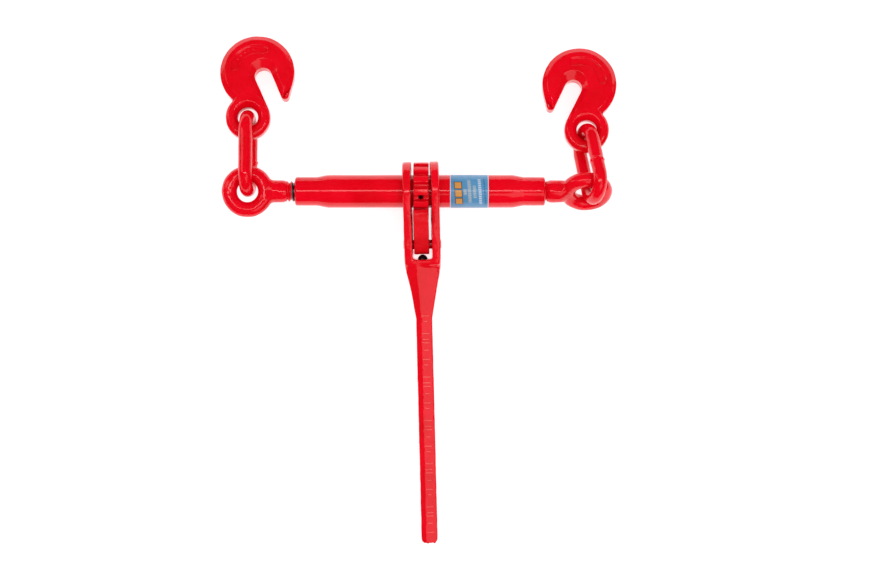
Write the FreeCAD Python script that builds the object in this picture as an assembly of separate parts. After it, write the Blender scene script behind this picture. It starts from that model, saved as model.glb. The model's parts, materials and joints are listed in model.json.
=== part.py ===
import FreeCAD, Part
import os
from math import acos, asin, atan2, cos, degrees, hypot, radians, sin, tan

# Ratchet chain binder, lying on a flat surface, in millimetres and degrees.
# The barrel lies along X, the hooks point to +Y, the handle to -Y, and +Z is up.
# The pieces are made about the barrel's middle, and all of them move together at the end,
# so that the origin is under the middle of the whole binder, on the surface it lies on.

Vector = FreeCAD.Vector
X_AXIS, Y_AXIS, Z_AXIS = Vector(1, 0, 0), Vector(0, 1, 0), Vector(0, 0, 1)

# barrel: a tube with a swaged, threaded mouth at each end
BARREL_LENGTH = 254.0
BARREL_D = 33.4
BARREL_WALL = 4.5
MOUTH_D = 29.2
MOUTH_LENGTH = 22.0
SWAGE_LENGTH = 12.0
THREAD_LENGTH = 26.0
MOUTH_CHAMFER = 0.8
THREAD_END_SLOPE = 1.2

# screws of the two eye bolts
SCREW_D = 21.0
SCREW_PITCH = 25.4 / 6
SCREW_LENGTH = 122.0
SCREW_CHAMFER = 1.5
SPIGOT_D = 15.0
SPIGOT_LENGTH = 15.0
LEFT_NECK_GAP = 9.2
RIGHT_NECK_GAP = 2.6

# eye of each eye bolt: a ring of round stock on a neck
RING_D = 37.0
RING_STOCK_D = 15.8
NECK_D = 22.8
NECK_TAPER = 2.8
RING_REACH = 39.5
NECK_LENGTH = 10.9
NECK_FLARE = 0.8
LEFT_RING_TURN = 0.0
RIGHT_RING_TURN = 53.5

# stop washer on each screw's spigot, and the cross pin that keeps it there
STOP_WASHER_THICKNESS = 7.0
STOP_PIN_D = 5.0
STOP_WASHER_CHAMFER = 0.8
STOP_PIN_SHORT = 1.0

# ratchet gear, and the two spring pins that fix it to the barrel
GEAR_TEETH = 14
GEAR_D = 59.8
GEAR_TOOTH_DEPTH = 5.3
GEAR_WIDTH = 15.6
GEAR_X = 1.0
GEAR_EDGE = 0.6
GROOVE_TOP = 6.9
GROOVE_FLOOR = 5.4
GROOVE_DIP = 0.5
GEAR_PIN_D = 5.0
GEAR_PIN_WALL = 1.1
GEAR_PIN_SUNK = 0.4
GEAR_PIN_PAST_WALL = 0.3
GEAR_PIN_GROOVE = 3

# handle: a forged fork with two cheeks round the barrel, and a drafted grip
HANDLE_LENGTH = 360.0
HANDLE_COCK = 1.4
CHEEK_RIM = 0.4
FORK_WIDTH = 37.0
FORK_GAP = 18.2
FORK_DRAFT = 3.0
FORK_END = 75.0
FORK_END_HEIGHT = 34.0
SLOT_CORNER = 2.5
CHEEK_ROUND = 1.8
SLOT_ROOM = 4.3
FORK_SWELL = 1.6
SHOULDER_AT = 101.0
GRIP_AT = 129.0
GRIP_WIDTH = 16.6
GRIP_HEIGHT = 21.0
GRIP_END_HEIGHT = 19.0
GRIP_RIDGE = 0.30
GRIP_DRAFT = 0.22
GRIP_LEFT_DRAFT = 0.352
SHOULDER_LEFT, SHOULDER_RIGHT = 1.22, 1.05
GRIP_END_ROUND = 4.0

# pawl: two horns, one for tightening and one for releasing, about one pin
PAWL_WIDTH = 15.5
PAWL_SHIFT = -0.8
PAWL_FLIP = 7.5
PAWL_PIN_AT = 24.1
PAWL_PIN_D = 9.5
PAWL_PIN_HEAD = 0.7
PAWL_PIN_CHAMFER = 0.5
PAWL_BOSS = 10.6
PAWL_GROOVE = 2
TOOTH_END_WIDTH = 4.0
TOOTH_BASE_WIDTH = 5.8
HORN_RIDGE = 9.0
HORN_RIDGE_DROP = 0.4
PAWL_MOUTH = 4.68
PAWL_ROUND = 1.6
DETENT_NOTCH = 0.6
NOTCH_PLAY = 0.6

# detent: a domed plunger and its spring, in a hole drilled up the middle of the grip
PLUNGER_D = 10.0
PLUNGER_LENGTH = 16.0
SPRING_LENGTH = 24.0
SPRING_WIRE = 1.4
SPRING_TURNS = 6.5
SPRING_PLAY = 0.3
SPRING_END_GAP = 0.2

# chain link: a welded link of round stock
LINK_STOCK_D = 14.0
LINK_INNER_WIDTH = 20.6
LINK_LENGTH = 89.5

# grab hook, in its own plane: sizes from the middle of its eye
EYE_D = 45.6
EYE_HOLE_D = 20.6
EYE_BEVEL = 3.0
EYE_THICKNESS = 15.0
BOWL_X, BOWL_Y, BOWL_D = 9.0, 47.0, 75.8
THROAT_X, THROAT_Y, THROAT_D = 15.2, 42.7, 17.5
TIP_X, TIP_Y, TIP_D = 37.6, 22.6, 8.2
HOOK_THICKNESS = 21.0
HOOK_BEVEL = 3.4
HOOK_FACE_FALL = 0.6
WAIST_ROUND = 2.5
RECESS_ARC_D, RECESS_WIDTH, RECESS_DEPTH = 54.0, 7.5, 0.9
RECESS_FROM, RECESS_TO = 65.0, 180.0

# label round the barrel
LABEL_FROM, LABEL_TO = 30.4, 69.4
LABEL_THICKNESS = 0.2
LABEL_WRAP = 330.0

# clearances: what turns, slides or hangs in something else keeps these on each side
CHEEK_PLAY = 0.75
SCREW_PLAY = 0.05
WASHER_PLAY = 0.3
PIN_PLAY = 0.05
PLUNGER_PLAY = 0.1
DETENT_GAP = 0.25
TOOTH_PLAY = 1.4
HORN_CLEARANCE = 1.3
END_PLAY = 0.4


class Rest:
    """How one link and its hook lie at rest: angles in degrees, play and shifts in millimetres."""

    def __init__(self, around, slope, yaw, roll, ring_play, ring_shift, eye_play, eye_shift, heading):
        self.around = around
        self.slope = slope
        self.yaw = yaw
        self.roll = roll
        self.ring_play = ring_play
        self.ring_shift = ring_shift
        self.eye_play = eye_play
        self.eye_shift = eye_shift
        self.heading = heading


LEFT_REST = Rest(0.0, 6.2, 0.0, 4.2, 2.4, -1.4, 4.2, 0.1, 0.0)
RIGHT_REST = Rest(22.8, 29.3, 9.3, 21.3, 1.3, -1.3, 3.7, 0.2, -2.4)

# sizes that follow from the ones above
barrel_r = BARREL_D / 2
bore_r = barrel_r - BARREL_WALL
screw_r = SCREW_D / 2
thread_r = screw_r + SCREW_PLAY
half_barrel = BARREL_LENGTH / 2
ring_r = RING_D / 2
ring_stock_r = RING_STOCK_D / 2
gear_r = GEAR_D / 2
root_r = gear_r - GEAR_TOOTH_DEPTH
tooth_pitch = 360.0 / GEAR_TEETH
cheek_r = gear_r + CHEEK_RIM
cheek_bore_r = barrel_r + CHEEK_PLAY
pawl_pin_at = gear_r + PAWL_PIN_AT
slot_end = pawl_pin_at + PAWL_BOSS + SLOT_ROOM
link_stock_r = LINK_STOCK_D / 2
link_bend_r = LINK_INNER_WIDTH / 2 + link_stock_r
link_leg = LINK_LENGTH - 2 * (link_bend_r + link_stock_r)
eye_stock = (EYE_D - EYE_HOLE_D) / 2
eye_mid_r = (EYE_D + EYE_HOLE_D) / 4


def point(across, along, up=0.0):
    """A point of the handle's frame: along runs from the barrel's axis to the grip's end."""
    return Vector(across, -along, up)


def tube_profile(points):
    """A face in the XY plane, to spin about the X axis."""
    return Part.Face(Part.makePolygon([Vector(x, r, 0) for x, r in points + points[:1]]))


def spin(points):
    """A solid of revolution about the X axis, from (x, radius) points."""
    return tube_profile(points).revolve(Vector(0, 0, 0), X_AXIS, 360)


def rod(radius, start, end):
    """A round rod between two points."""
    along = end.sub(start)
    return Part.makeCylinder(radius, along.Length, start, along)


def polar(radius, angle, centre=(0.0, 0.0)):
    """A point on a circle, angle in degrees."""
    return centre[0] + radius * cos(radians(angle)), centre[1] + radius * sin(radians(angle))


def turned(xy, centre, angle):
    """A point of a plane, turned about a centre."""
    dx, dy = xy[0] - centre[0], xy[1] - centre[1]
    return polar(hypot(dx, dy), degrees(atan2(dy, dx)) + angle, centre)


def barrel_tube():
    """The tube: swaged down at both ends, threaded mouths, plain bore between them."""
    taper_in = half_barrel - MOUTH_LENGTH - SWAGE_LENGTH
    thread_in = half_barrel - THREAD_LENGTH
    cone = (bore_r - thread_r) * THREAD_END_SLOPE
    mouth_r = MOUTH_D / 2
    right = [
        (taper_in, barrel_r),
        (half_barrel - MOUTH_LENGTH, mouth_r),
        (half_barrel - MOUTH_CHAMFER, mouth_r),
        (half_barrel, mouth_r - MOUTH_CHAMFER),
        (half_barrel, thread_r + MOUTH_CHAMFER),
        (half_barrel - MOUTH_CHAMFER, thread_r),
        (thread_in, thread_r),
        (thread_in - cone, bore_r),
    ]
    left = [(-x, r) for x, r in reversed(right)]
    tube = spin(right + left)
    for side in (1, -1):
        tube = tube.cut(gear_pin_hole(side))
    return tube


def gear_pin_direction(side):
    """The outward direction of one of the two opposite gear pins: side is 1 or -1."""
    angle = radians(180 - GEAR_PIN_GROOVE * tooth_pitch + handle_drop())
    return Vector(0, cos(angle), sin(angle)) * side


def gear_pin_hole(side):
    """The hole for a gear pin, right through a groove's floor and the barrel's wall."""
    out = gear_pin_direction(side)
    middle = Vector(GEAR_X, 0, 0)
    return rod(GEAR_PIN_D / 2, middle + out * (bore_r - 1), middle + out * (root_r + 1))


def gear_pin(side):
    """A spring pin, driven through a groove of the gear into the barrel's wall."""
    out = gear_pin_direction(side)
    middle = Vector(GEAR_X, 0, 0)
    start = middle + out * (bore_r + GEAR_PIN_PAST_WALL)
    end = middle + out * (root_r - GEAR_PIN_SUNK)
    return rod(GEAR_PIN_D / 2, start, end).cut(rod(GEAR_PIN_D / 2 - GEAR_PIN_WALL, start, end))


def ratchet_gear():
    """The gear: straight teeth with flat tops, parted by drafted grooves with rounded floors."""
    half = GEAR_WIDTH / 2
    blank = spin([
        (-half, barrel_r),
        (-half, gear_r - GEAR_EDGE),
        (-half + GEAR_EDGE, gear_r),
        (half - GEAR_EDGE, gear_r),
        (half, gear_r - GEAR_EDGE),
        (half, barrel_r),
    ])
    over = gear_r + 1
    flank = (GROOVE_TOP - GROOVE_FLOOR) / 2 / GEAR_TOOTH_DEPTH
    top = GROOVE_FLOOR / 2 + flank * (over - root_r)
    floor = Part.Arc(
        Vector(-half - 1, -GROOVE_FLOOR / 2, root_r),
        Vector(-half - 1, 0, root_r - GROOVE_DIP),
        Vector(-half - 1, GROOVE_FLOOR / 2, root_r),
    ).toShape()
    corners = [(GROOVE_FLOOR / 2, root_r), (top, over), (-top, over), (-GROOVE_FLOOR / 2, root_r)]
    sides = Part.makePolygon([Vector(-half - 1, y, z) for y, z in corners])
    groove = Part.Face(Part.Wire([floor] + sides.Edges)).extrude(Vector(GEAR_WIDTH + 2, 0, 0))
    # groove 0 faces down the handle, and the pawl meets the grooves on each side of it
    towards_handle = 90 + handle_drop()
    grooves = []
    for number in range(GEAR_TEETH):
        one = groove.copy()
        one.rotate(Vector(0, 0, 0), X_AXIS, towards_handle + number * tooth_pitch)
        grooves.append(one)
    gear = blank.cut(grooves)
    gear.translate(Vector(GEAR_X, 0, 0))
    for side in (1, -1):
        gear = gear.cut(gear_pin_hole(side))
    return gear


def label():
    """A thin label wrapped round the barrel, with a gap underneath."""
    outer = barrel_r + LABEL_THICKNESS
    sleeve = tube_profile([
        (LABEL_FROM, barrel_r), (LABEL_FROM, outer), (LABEL_TO, outer), (LABEL_TO, barrel_r)
    ])
    sleeve.rotate(Vector(0, 0, 0), X_AXIS, -LABEL_WRAP / 2 + 90)
    return sleeve.revolve(Vector(0, 0, 0), X_AXIS, LABEL_WRAP)


def cheek_outline(radius):
    """Side view of a cheek: round about the barrel, with straight sides to the fork's end."""
    half = FORK_END_HEIGHT / 2
    reach = hypot(FORK_END, half)
    lean = degrees(acos(radius / reach) + atan2(half, FORK_END))
    touch = polar(radius, lean)
    arc = Part.Arc(
        point(0, touch[0], touch[1]), point(0, -radius, 0), point(0, touch[0], -touch[1])
    ).toShape()
    corners = [(touch[0], -touch[1]), (FORK_END, -half), (FORK_END, half), touch]
    sides = Part.makePolygon([point(0, along, up) for along, up in corners])
    return Part.Face(Part.Wire([arc] + sides.Edges))


def grip_section(along, left, right, height):
    """One section of the grip: drafted above and below from a ridge that is off the middle."""
    ridge = left + (right - left) * GRIP_RIDGE
    top = height / 2
    low_left = top - (ridge - left) * GRIP_LEFT_DRAFT
    low_right = top - (right - ridge) * GRIP_DRAFT
    corners = [(left, low_left), (ridge, top), (right, low_right)]
    corners += [(right, -low_right), (ridge, -top), (left, -low_left)]
    return Part.makePolygon([point(x, along, z) for x, z in corners + corners[:1]])


def grip():
    """The grip: lofted from the fork's end through a shoulder to the drafted bar."""
    half_fork, half_grip = FORK_WIDTH / 2, GRIP_WIDTH / 2
    share = (SHOULDER_AT - FORK_END) / (GRIP_AT - FORK_END)
    narrow = half_fork - half_grip
    shoulder = [-half_fork + narrow * share * SHOULDER_LEFT, half_fork - narrow * share * SHOULDER_RIGHT]
    shoulder_height = FORK_END_HEIGHT + (GRIP_HEIGHT - FORK_END_HEIGHT) * share
    sections = [
        grip_section(slot_end, -half_fork, half_fork, FORK_END_HEIGHT + FORK_SWELL),
        grip_section(FORK_END, -half_fork, half_fork, FORK_END_HEIGHT),
        grip_section(SHOULDER_AT, shoulder[0], shoulder[1], shoulder_height),
        grip_section(GRIP_AT, -half_grip, half_grip, GRIP_HEIGHT),
        grip_section(HANDLE_LENGTH, -half_grip, half_grip, GRIP_END_HEIGHT),
    ]
    bar = Part.makeLoft(sections, True, True)
    sides = [
        edge for edge in bar.Edges
        if all(abs(v.Y + HANDLE_LENGTH) < 0.01 for v in edge.Vertexes)
        and abs(edge.tangentAt(edge.FirstParameter).z) > 0.99
    ]
    return bar.makeFillet(GRIP_END_ROUND, sides)


def cheeks():
    """The two cheeks, with drafted inner faces and rounded rims."""
    half = FORK_WIDTH / 2
    block = cheek_outline(cheek_r).extrude(Vector(FORK_WIDTH, 0, 0))
    block.translate(Vector(-half, 0, 0))
    rims = [edge for edge in block.Edges if abs(abs(edge.CenterOfMass.x) - half) < 0.01]
    rims = [edge for edge in rims if edge.CenterOfMass.y > -FORK_END + 1]
    block = block.makeFillet(CHEEK_ROUND, rims)
    high = cheek_r + 5
    wide = FORK_GAP / 2 + tan(radians(FORK_DRAFT)) * high
    narrow = FORK_GAP / 2
    section = [(narrow, 0), (wide, high), (-wide, high), (-narrow, 0), (-wide, -high), (wide, -high)]
    start = point(0, -cheek_r - 5)
    slot = Part.Face(Part.makePolygon([Vector(x, start.y, z) for x, z in section + section[:1]]))
    slot = slot.extrude(point(0, slot_end + cheek_r + 5))
    plan = Part.makeBox(4 * wide, slot_end + cheek_r + 5, 4 * high, Vector(-2 * wide, -slot_end, -2 * high))
    round_end = [
        edge for edge in slot.Edges
        if abs(edge.CenterOfMass.y + slot_end) < 0.01 and abs(edge.CenterOfMass.x) > narrow * 0.9
    ]
    return block.cut(slot.makeFillet(SLOT_CORNER, round_end).common(plan))


def handle():
    """The handle forging, with its barrel bores, pin holes and detent hole."""
    body = cheeks().fuse(grip()).removeSplitter()
    bores = rod(cheek_bore_r, Vector(-FORK_WIDTH, 0, 0), Vector(FORK_WIDTH, 0, 0))
    bores.rotate(Vector(0, 0, 0), Z_AXIS, -HANDLE_COCK)
    pin_at = point(0, pawl_pin_at)
    pin_hole = rod(PAWL_PIN_D / 2 + PIN_PLAY, pin_at - X_AXIS * FORK_WIDTH, pin_at + X_AXIS * FORK_WIDTH)
    hole_r = PLUNGER_D / 2 + PLUNGER_PLAY
    deep = plunger_back() + SPRING_LENGTH
    hole = rod(hole_r, point(0, slot_end - 2), point(0, deep))
    return body.cut([bores, pin_hole, hole])


def plunger_back():
    """Where the plunger ends and its spring starts, along the handle."""
    return pawl_pin_at + PAWL_BOSS - DETENT_NOTCH + DETENT_GAP + PLUNGER_LENGTH


def detent_plunger():
    """The plunger: a round slug with a domed nose, pushed from behind by its spring."""
    radius = PLUNGER_D / 2
    nose = plunger_back() - PLUNGER_LENGTH
    centre = point(0, nose + radius)
    slug = rod(radius, centre, point(0, plunger_back()))
    return slug.fuse(Part.makeSphere(radius, centre)).removeSplitter()


def detent_spring():
    """The compression spring behind the plunger."""
    radius = (PLUNGER_D - SPRING_WIRE) / 2 - SPRING_PLAY
    length = SPRING_LENGTH - SPRING_WIRE - 2 * SPRING_END_GAP
    coil = Part.makeHelix(length / SPRING_TURNS, length, radius)
    wire = Part.Wire(Part.makeCircle(SPRING_WIRE / 2, Vector(radius, 0, 0), Y_AXIS))
    spring = Part.Wire(coil.Edges).makePipeShell([wire], True, True)
    spring.rotate(Vector(0, 0, 0), X_AXIS, 90)
    spring.translate(point(0, plunger_back() + SPRING_WIRE / 2 + SPRING_END_GAP))
    return spring


def pawl_half():
    """Half of the pawl's outline, from the tooth to its boss, as (along, up) points."""
    pin = (pawl_pin_at, 0.0)
    angle = PAWL_GROOVE * tooth_pitch
    end_r = root_r + TOOTH_PLAY
    base_r = gear_r + HORN_CLEARANCE

    def on_tooth(radius, width):
        side = degrees(asin(width / 2 / radius))
        engaged = [polar(radius, angle - side), polar(radius, angle + side)]
        return [turned(xy, pin, -PAWL_FLIP) for xy in engaged]

    inner_base, outer_base = on_tooth(base_r, TOOTH_BASE_WIDTH)
    inner_tip, outer_tip = on_tooth(end_r, TOOTH_END_WIDTH)
    ridge = (outer_base[0] + HORN_RIDGE, outer_base[1] - HORN_RIDGE_DROP)
    dx, dy = ridge[0] - pin[0], ridge[1] - pin[1]
    touch = degrees(atan2(dy, dx) - acos(PAWL_BOSS / hypot(dx, dy)))
    return inner_base, inner_tip, outer_tip, outer_base, ridge, polar(PAWL_BOSS, touch, pin)


def handle_drop():
    """The handle's angle below level, in degrees."""
    return lie_down()[1]


def lie_down():
    """How high the barrel's axis rides, and how far the handle drops until its end lies flat too."""
    reach = hypot(HANDLE_LENGTH, GRIP_END_HEIGHT / 2)
    height, drop = cheek_r, 0.0
    for _ in range(5):
        horn = max(up * cos(drop) + along * sin(drop) for along, up in pawl_half())
        height = max(cheek_r, horn)
        drop = asin(height / reach) - atan2(GRIP_END_HEIGHT / 2, HANDLE_LENGTH)
    return height, degrees(drop)


def pawl():
    """The pawl: two horns whose teeth fit the gear's grooves, and a notched boss."""
    inner_base, inner_tip, outer_tip, outer_base, ridge, touch = pawl_half()

    def place(xy, up=1):
        return point(-PAWL_WIDTH / 2, xy[0], xy[1] * up)

    upper = [place(xy) for xy in (inner_base, inner_tip, outer_tip, outer_base, ridge, touch)]
    lower = [place(xy, -1) for xy in (touch, ridge, outer_base, outer_tip, inner_tip, inner_base)]
    boss = Part.Arc(upper[-1], place((pawl_pin_at + PAWL_BOSS, 0)), lower[0]).toShape()
    mouth = Part.Arc(lower[-1], place((gear_r + PAWL_MOUTH, 0)), upper[0]).toShape()
    edges = Part.makePolygon(upper).Edges + [boss] + Part.makePolygon(lower).Edges + [mouth]
    body = Part.Face(Part.Wire(edges)).extrude(Vector(PAWL_WIDTH, 0, 0))
    corners = [place(xy, up) for xy in (outer_base, ridge) for up in (1, -1)]
    rounds = [
        edge for edge in body.Edges
        if any(abs(edge.CenterOfMass.y - c.y) + abs(edge.CenterOfMass.z - c.z) < 0.01 for c in corners)
    ]
    body = body.makeFillet(PAWL_ROUND, rounds)
    pin_at = point(0, pawl_pin_at)
    cuts = [rod(PAWL_PIN_D / 2 + PIN_PLAY, pin_at - X_AXIS * PAWL_WIDTH, pin_at + X_AXIS * PAWL_WIDTH)]
    notch_r = PLUNGER_D / 2 + NOTCH_PLAY
    for stop in (-PAWL_FLIP, 0, PAWL_FLIP):
        spot = polar(PAWL_BOSS - DETENT_NOTCH + notch_r, stop, (pawl_pin_at, 0.0))
        centre = point(0, spot[0], spot[1])
        cuts.append(rod(notch_r, centre - X_AXIS * PAWL_WIDTH, centre + X_AXIS * PAWL_WIDTH))
    body = body.cut(cuts)
    body.translate(Vector(PAWL_SHIFT, 0, 0))
    return body


def pawl_pin():
    """The pawl's pin, with both ends riveted over proud of the cheeks."""
    half = FORK_WIDTH / 2
    radius = PAWL_PIN_D / 2
    proud = half + PAWL_PIN_HEAD
    end, rim = proud - PAWL_PIN_CHAMFER, radius - PAWL_PIN_CHAMFER
    pin = spin([(-proud, 0), (-proud, rim), (-end, radius), (end, radius), (proud, rim), (proud, 0)])
    pin.translate(point(0, pawl_pin_at))
    return pin


def place_on_handle(shape):
    """Set a piece of the handle on the barrel: turned by its lean, and dropped to the surface."""
    shape.rotate(Vector(0, 0, 0), Z_AXIS, HANDLE_COCK)
    shape.rotate(Vector(0, 0, 0), X_AXIS, handle_drop())
    shape.translate(Vector(GEAR_X, 0, 0))
    return shape


def neck_gap(side):
    """How far the neck stands out of the barrel at rest: side is -1 on the left, 1 on the right."""
    return RIGHT_NECK_GAP if side > 0 else LEFT_NECK_GAP


def eye_bolt():
    """An eye bolt along +X: screw, neck and ring, with the neck's inner end at the origin."""
    neck_r = NECK_D / 2
    inner = -SCREW_LENGTH
    neck_end = NECK_TAPER + NECK_LENGTH
    shank = spin([
        (inner, 0), (inner, SPIGOT_D / 2), (inner + SPIGOT_LENGTH, SPIGOT_D / 2),
        (inner + SPIGOT_LENGTH, screw_r - SCREW_CHAMFER), (inner + SPIGOT_LENGTH + SCREW_CHAMFER, screw_r),
        (0, screw_r), (NECK_TAPER, neck_r), (neck_end, neck_r), (neck_end, 0),
    ])
    ring = Part.makeTorus(ring_r, ring_stock_r, Vector(RING_REACH, 0, 0), Z_AXIS)
    root = Vector(RING_REACH - ring_r, 0, 0)
    wide = root + Y_AXIS * (ring_r * NECK_FLARE)
    flat_end = Part.Ellipse(wide, root + Z_AXIS * ring_stock_r, root).toShape()
    round_end = Part.makeCircle(neck_r, Vector(neck_end, 0, 0), X_AXIS)
    flare = Part.makeLoft([Part.Wire(round_end), Part.Wire(flat_end)], True, True)
    bolt = shank.fuse([flare, ring]).removeSplitter()
    pin_x = inner + (SPIGOT_LENGTH - STOP_WASHER_THICKNESS) / 2 - END_PLAY / 2
    cross = rod(STOP_PIN_D / 2, Vector(pin_x, 0, -NECK_D), Vector(pin_x, 0, NECK_D))
    return bolt.cut(cross)


def stop_pin():
    """The cross pin behind the stop washer, in the eye bolt's own place."""
    pin_x = -SCREW_LENGTH + (SPIGOT_LENGTH - STOP_WASHER_THICKNESS) / 2 - END_PLAY / 2
    reach = bore_r - WASHER_PLAY - STOP_PIN_SHORT
    return rod(STOP_PIN_D / 2, Vector(pin_x, 0, -reach), Vector(pin_x, 0, reach))


def stop_washer():
    """The loose washer that meets the swaged shoulder when the screw is run right out."""
    outer = bore_r - WASHER_PLAY
    inner = SPIGOT_D / 2 + PIN_PLAY
    end = -SCREW_LENGTH + SPIGOT_LENGTH - END_PLAY / 2
    start = end - STOP_WASHER_THICKNESS + END_PLAY / 2
    rim = STOP_WASHER_CHAMFER
    return spin([(start, inner), (start, outer), (end - rim, outer), (end, outer - rim), (end, inner)])


def place_screw(shape, side, turn):
    """Put an eye bolt or what is on it in its end of the barrel, turned about the screw."""
    shape.rotate(Vector(0, 0, 0), X_AXIS, turn)
    if side < 0:
        shape = shape.mirror(Vector(0, 0, 0), X_AXIS)
    shape.translate(Vector(side * (half_barrel + neck_gap(side)), 0, 0))
    return shape


def ring_centre(side):
    """The middle of an eye bolt's ring."""
    return Vector(side * (half_barrel + neck_gap(side) + RING_REACH), 0, 0)


def link_axes(side, rest):
    """A link's own axes at rest: along it towards the hook, and across it towards its upper leg."""
    slope, yaw, roll = radians(rest.slope), radians(rest.yaw) * side, radians(rest.roll) * side
    along = Vector(-sin(yaw) * cos(slope), cos(yaw) * cos(slope), -sin(slope))
    level = Vector(cos(yaw), sin(yaw), 0)
    across = level.cross(along) * cos(roll) + level * sin(roll)
    return along, across


def link_centre(side, rest, turn):
    """The middle of a link that hangs in the ring, from where it crosses the ring's stock."""
    around = radians(rest.around) * side
    out = Vector(0, cos(radians(turn)), sin(radians(turn)))
    stock = ring_centre(side) + (X_AXIS * sin(around) + out * cos(around)) * ring_r
    along, across = link_axes(side, rest)
    reach = link_leg / 2 + link_bend_r - link_stock_r - ring_stock_r - rest.ring_play
    return stock + along * reach + across * rest.ring_shift


def chain_link(side, rest, turn):
    """A link of round stock: two straight legs and two round ends, along its rest axes."""
    centre = link_centre(side, rest, turn)
    along, across = link_axes(side, rest)
    half, bend = along * (link_leg / 2), across * link_bend_r
    near, far = centre - half, centre + half
    path = Part.Wire([
        Part.makeLine(near + bend, far + bend),
        Part.Arc(far + bend, far + along * link_bend_r, far - bend).toShape(),
        Part.makeLine(far - bend, near - bend),
        Part.Arc(near - bend, near - along * link_bend_r, near + bend).toShape(),
    ])
    stock = Part.Wire(Part.makeCircle(link_stock_r, near + bend, along))
    return path.makePipeShell([stock], True, True)


def crossing_tangent(c1, r1, c2, r2, side):
    """The line that touches two circles and passes between them: its point on each circle."""
    dx, dy = c2[0] - c1[0], c2[1] - c1[1]
    lean = acos((r1 + r2) / hypot(dx, dy)) * side
    angle = degrees(atan2(dy, dx) + lean)
    return polar(r1, angle, c1), polar(-r2, angle, c2)


def outer_tangent(c1, r1, c2, r2, side):
    """The line that touches two circles on the same side: its point on each circle."""
    dx, dy = c2[0] - c1[0], c2[1] - c1[1]
    lean = acos((r1 - r2) / hypot(dx, dy)) * side
    angle = degrees(atan2(dy, dx) + lean)
    return polar(r1, angle, c1), polar(r2, angle, c2)


def flat(xy, z=0.0):
    """A point of the hook's plane as a vector."""
    return Vector(xy[0], xy[1], z)


def arc(start, middle, end):
    """An arc in the hook's plane through three points."""
    return Part.Arc(flat(start), flat(middle), flat(end)).toShape()


def hook_outline():
    """The hook's outline: bowl, tip, throat and eye, each tangent to the next but at the waist."""
    eye, bowl, throat, tip = (0.0, 0.0), (BOWL_X, BOWL_Y), (THROAT_X, THROAT_Y), (TIP_X, TIP_Y)
    eye_r, bowl_r, throat_r, tip_r = EYE_D / 2, BOWL_D / 2, THROAT_D / 2, TIP_D / 2
    throat_in, eye_in = crossing_tangent(throat, throat_r, eye, eye_r, -1)
    throat_out, tip_in = crossing_tangent(throat, throat_r, tip, tip_r, 1)
    bowl_out, tip_out = outer_tangent(bowl, bowl_r, tip, tip_r, 1)
    # the waist: where the bowl's circle meets the eye's, on the side away from the throat
    span = hypot(BOWL_X, BOWL_Y)
    lean = degrees(acos((span**2 + eye_r**2 - bowl_r**2) / (2 * span * eye_r)))
    waist = polar(eye_r, degrees(atan2(BOWL_Y, BOWL_X)) + lean)
    edges = [
        arc(eye_in, polar(eye_r, -120), waist),
        arc(waist, polar(bowl_r, 110, bowl), bowl_out),
        Part.makeLine(flat(bowl_out), flat(tip_out)),
        arc(tip_out, polar(tip_r, -80, tip), tip_in),
        Part.makeLine(flat(tip_in), flat(throat_out)),
        arc(throat_out, polar(throat_r, 65, throat), throat_in),
        Part.makeLine(flat(throat_in), flat(eye_in)),
    ]
    return Part.Wire(edges), waist


def on_rim(edge):
    """Is this edge on the rim of a hook's face, and not an upright corner of its outline?"""
    heights = [vertex.Z for vertex in edge.Vertexes]
    return min(heights) > 0 or max(heights) < 0


def hook_recess():
    """The curved recess in each face of the hook, to cut from its bowl."""
    bowl = (BOWL_X, BOWL_Y)
    inner, outer = (RECESS_ARC_D - RECESS_WIDTH) / 2, (RECESS_ARC_D + RECESS_WIDTH) / 2
    middle_angle = (RECESS_FROM + RECESS_TO) / 2
    ends = []
    for angle, away in ((RECESS_FROM, -1), (RECESS_TO, 1)):
        spread = degrees(RECESS_WIDTH / RECESS_ARC_D) * away
        ends.append(polar(RECESS_ARC_D / 2, angle + spread, bowl))
    edges = [
        arc(polar(outer, RECESS_FROM, bowl), polar(outer, middle_angle, bowl), polar(outer, RECESS_TO, bowl)),
        arc(polar(outer, RECESS_TO, bowl), ends[1], polar(inner, RECESS_TO, bowl)),
        arc(polar(inner, RECESS_TO, bowl), polar(inner, middle_angle, bowl), polar(inner, RECESS_FROM, bowl)),
        arc(polar(inner, RECESS_FROM, bowl), ends[0], polar(outer, RECESS_FROM, bowl)),
    ]
    return Part.Face(Part.Wire(edges)).extrude(Vector(0, 0, HOOK_THICKNESS))


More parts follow.
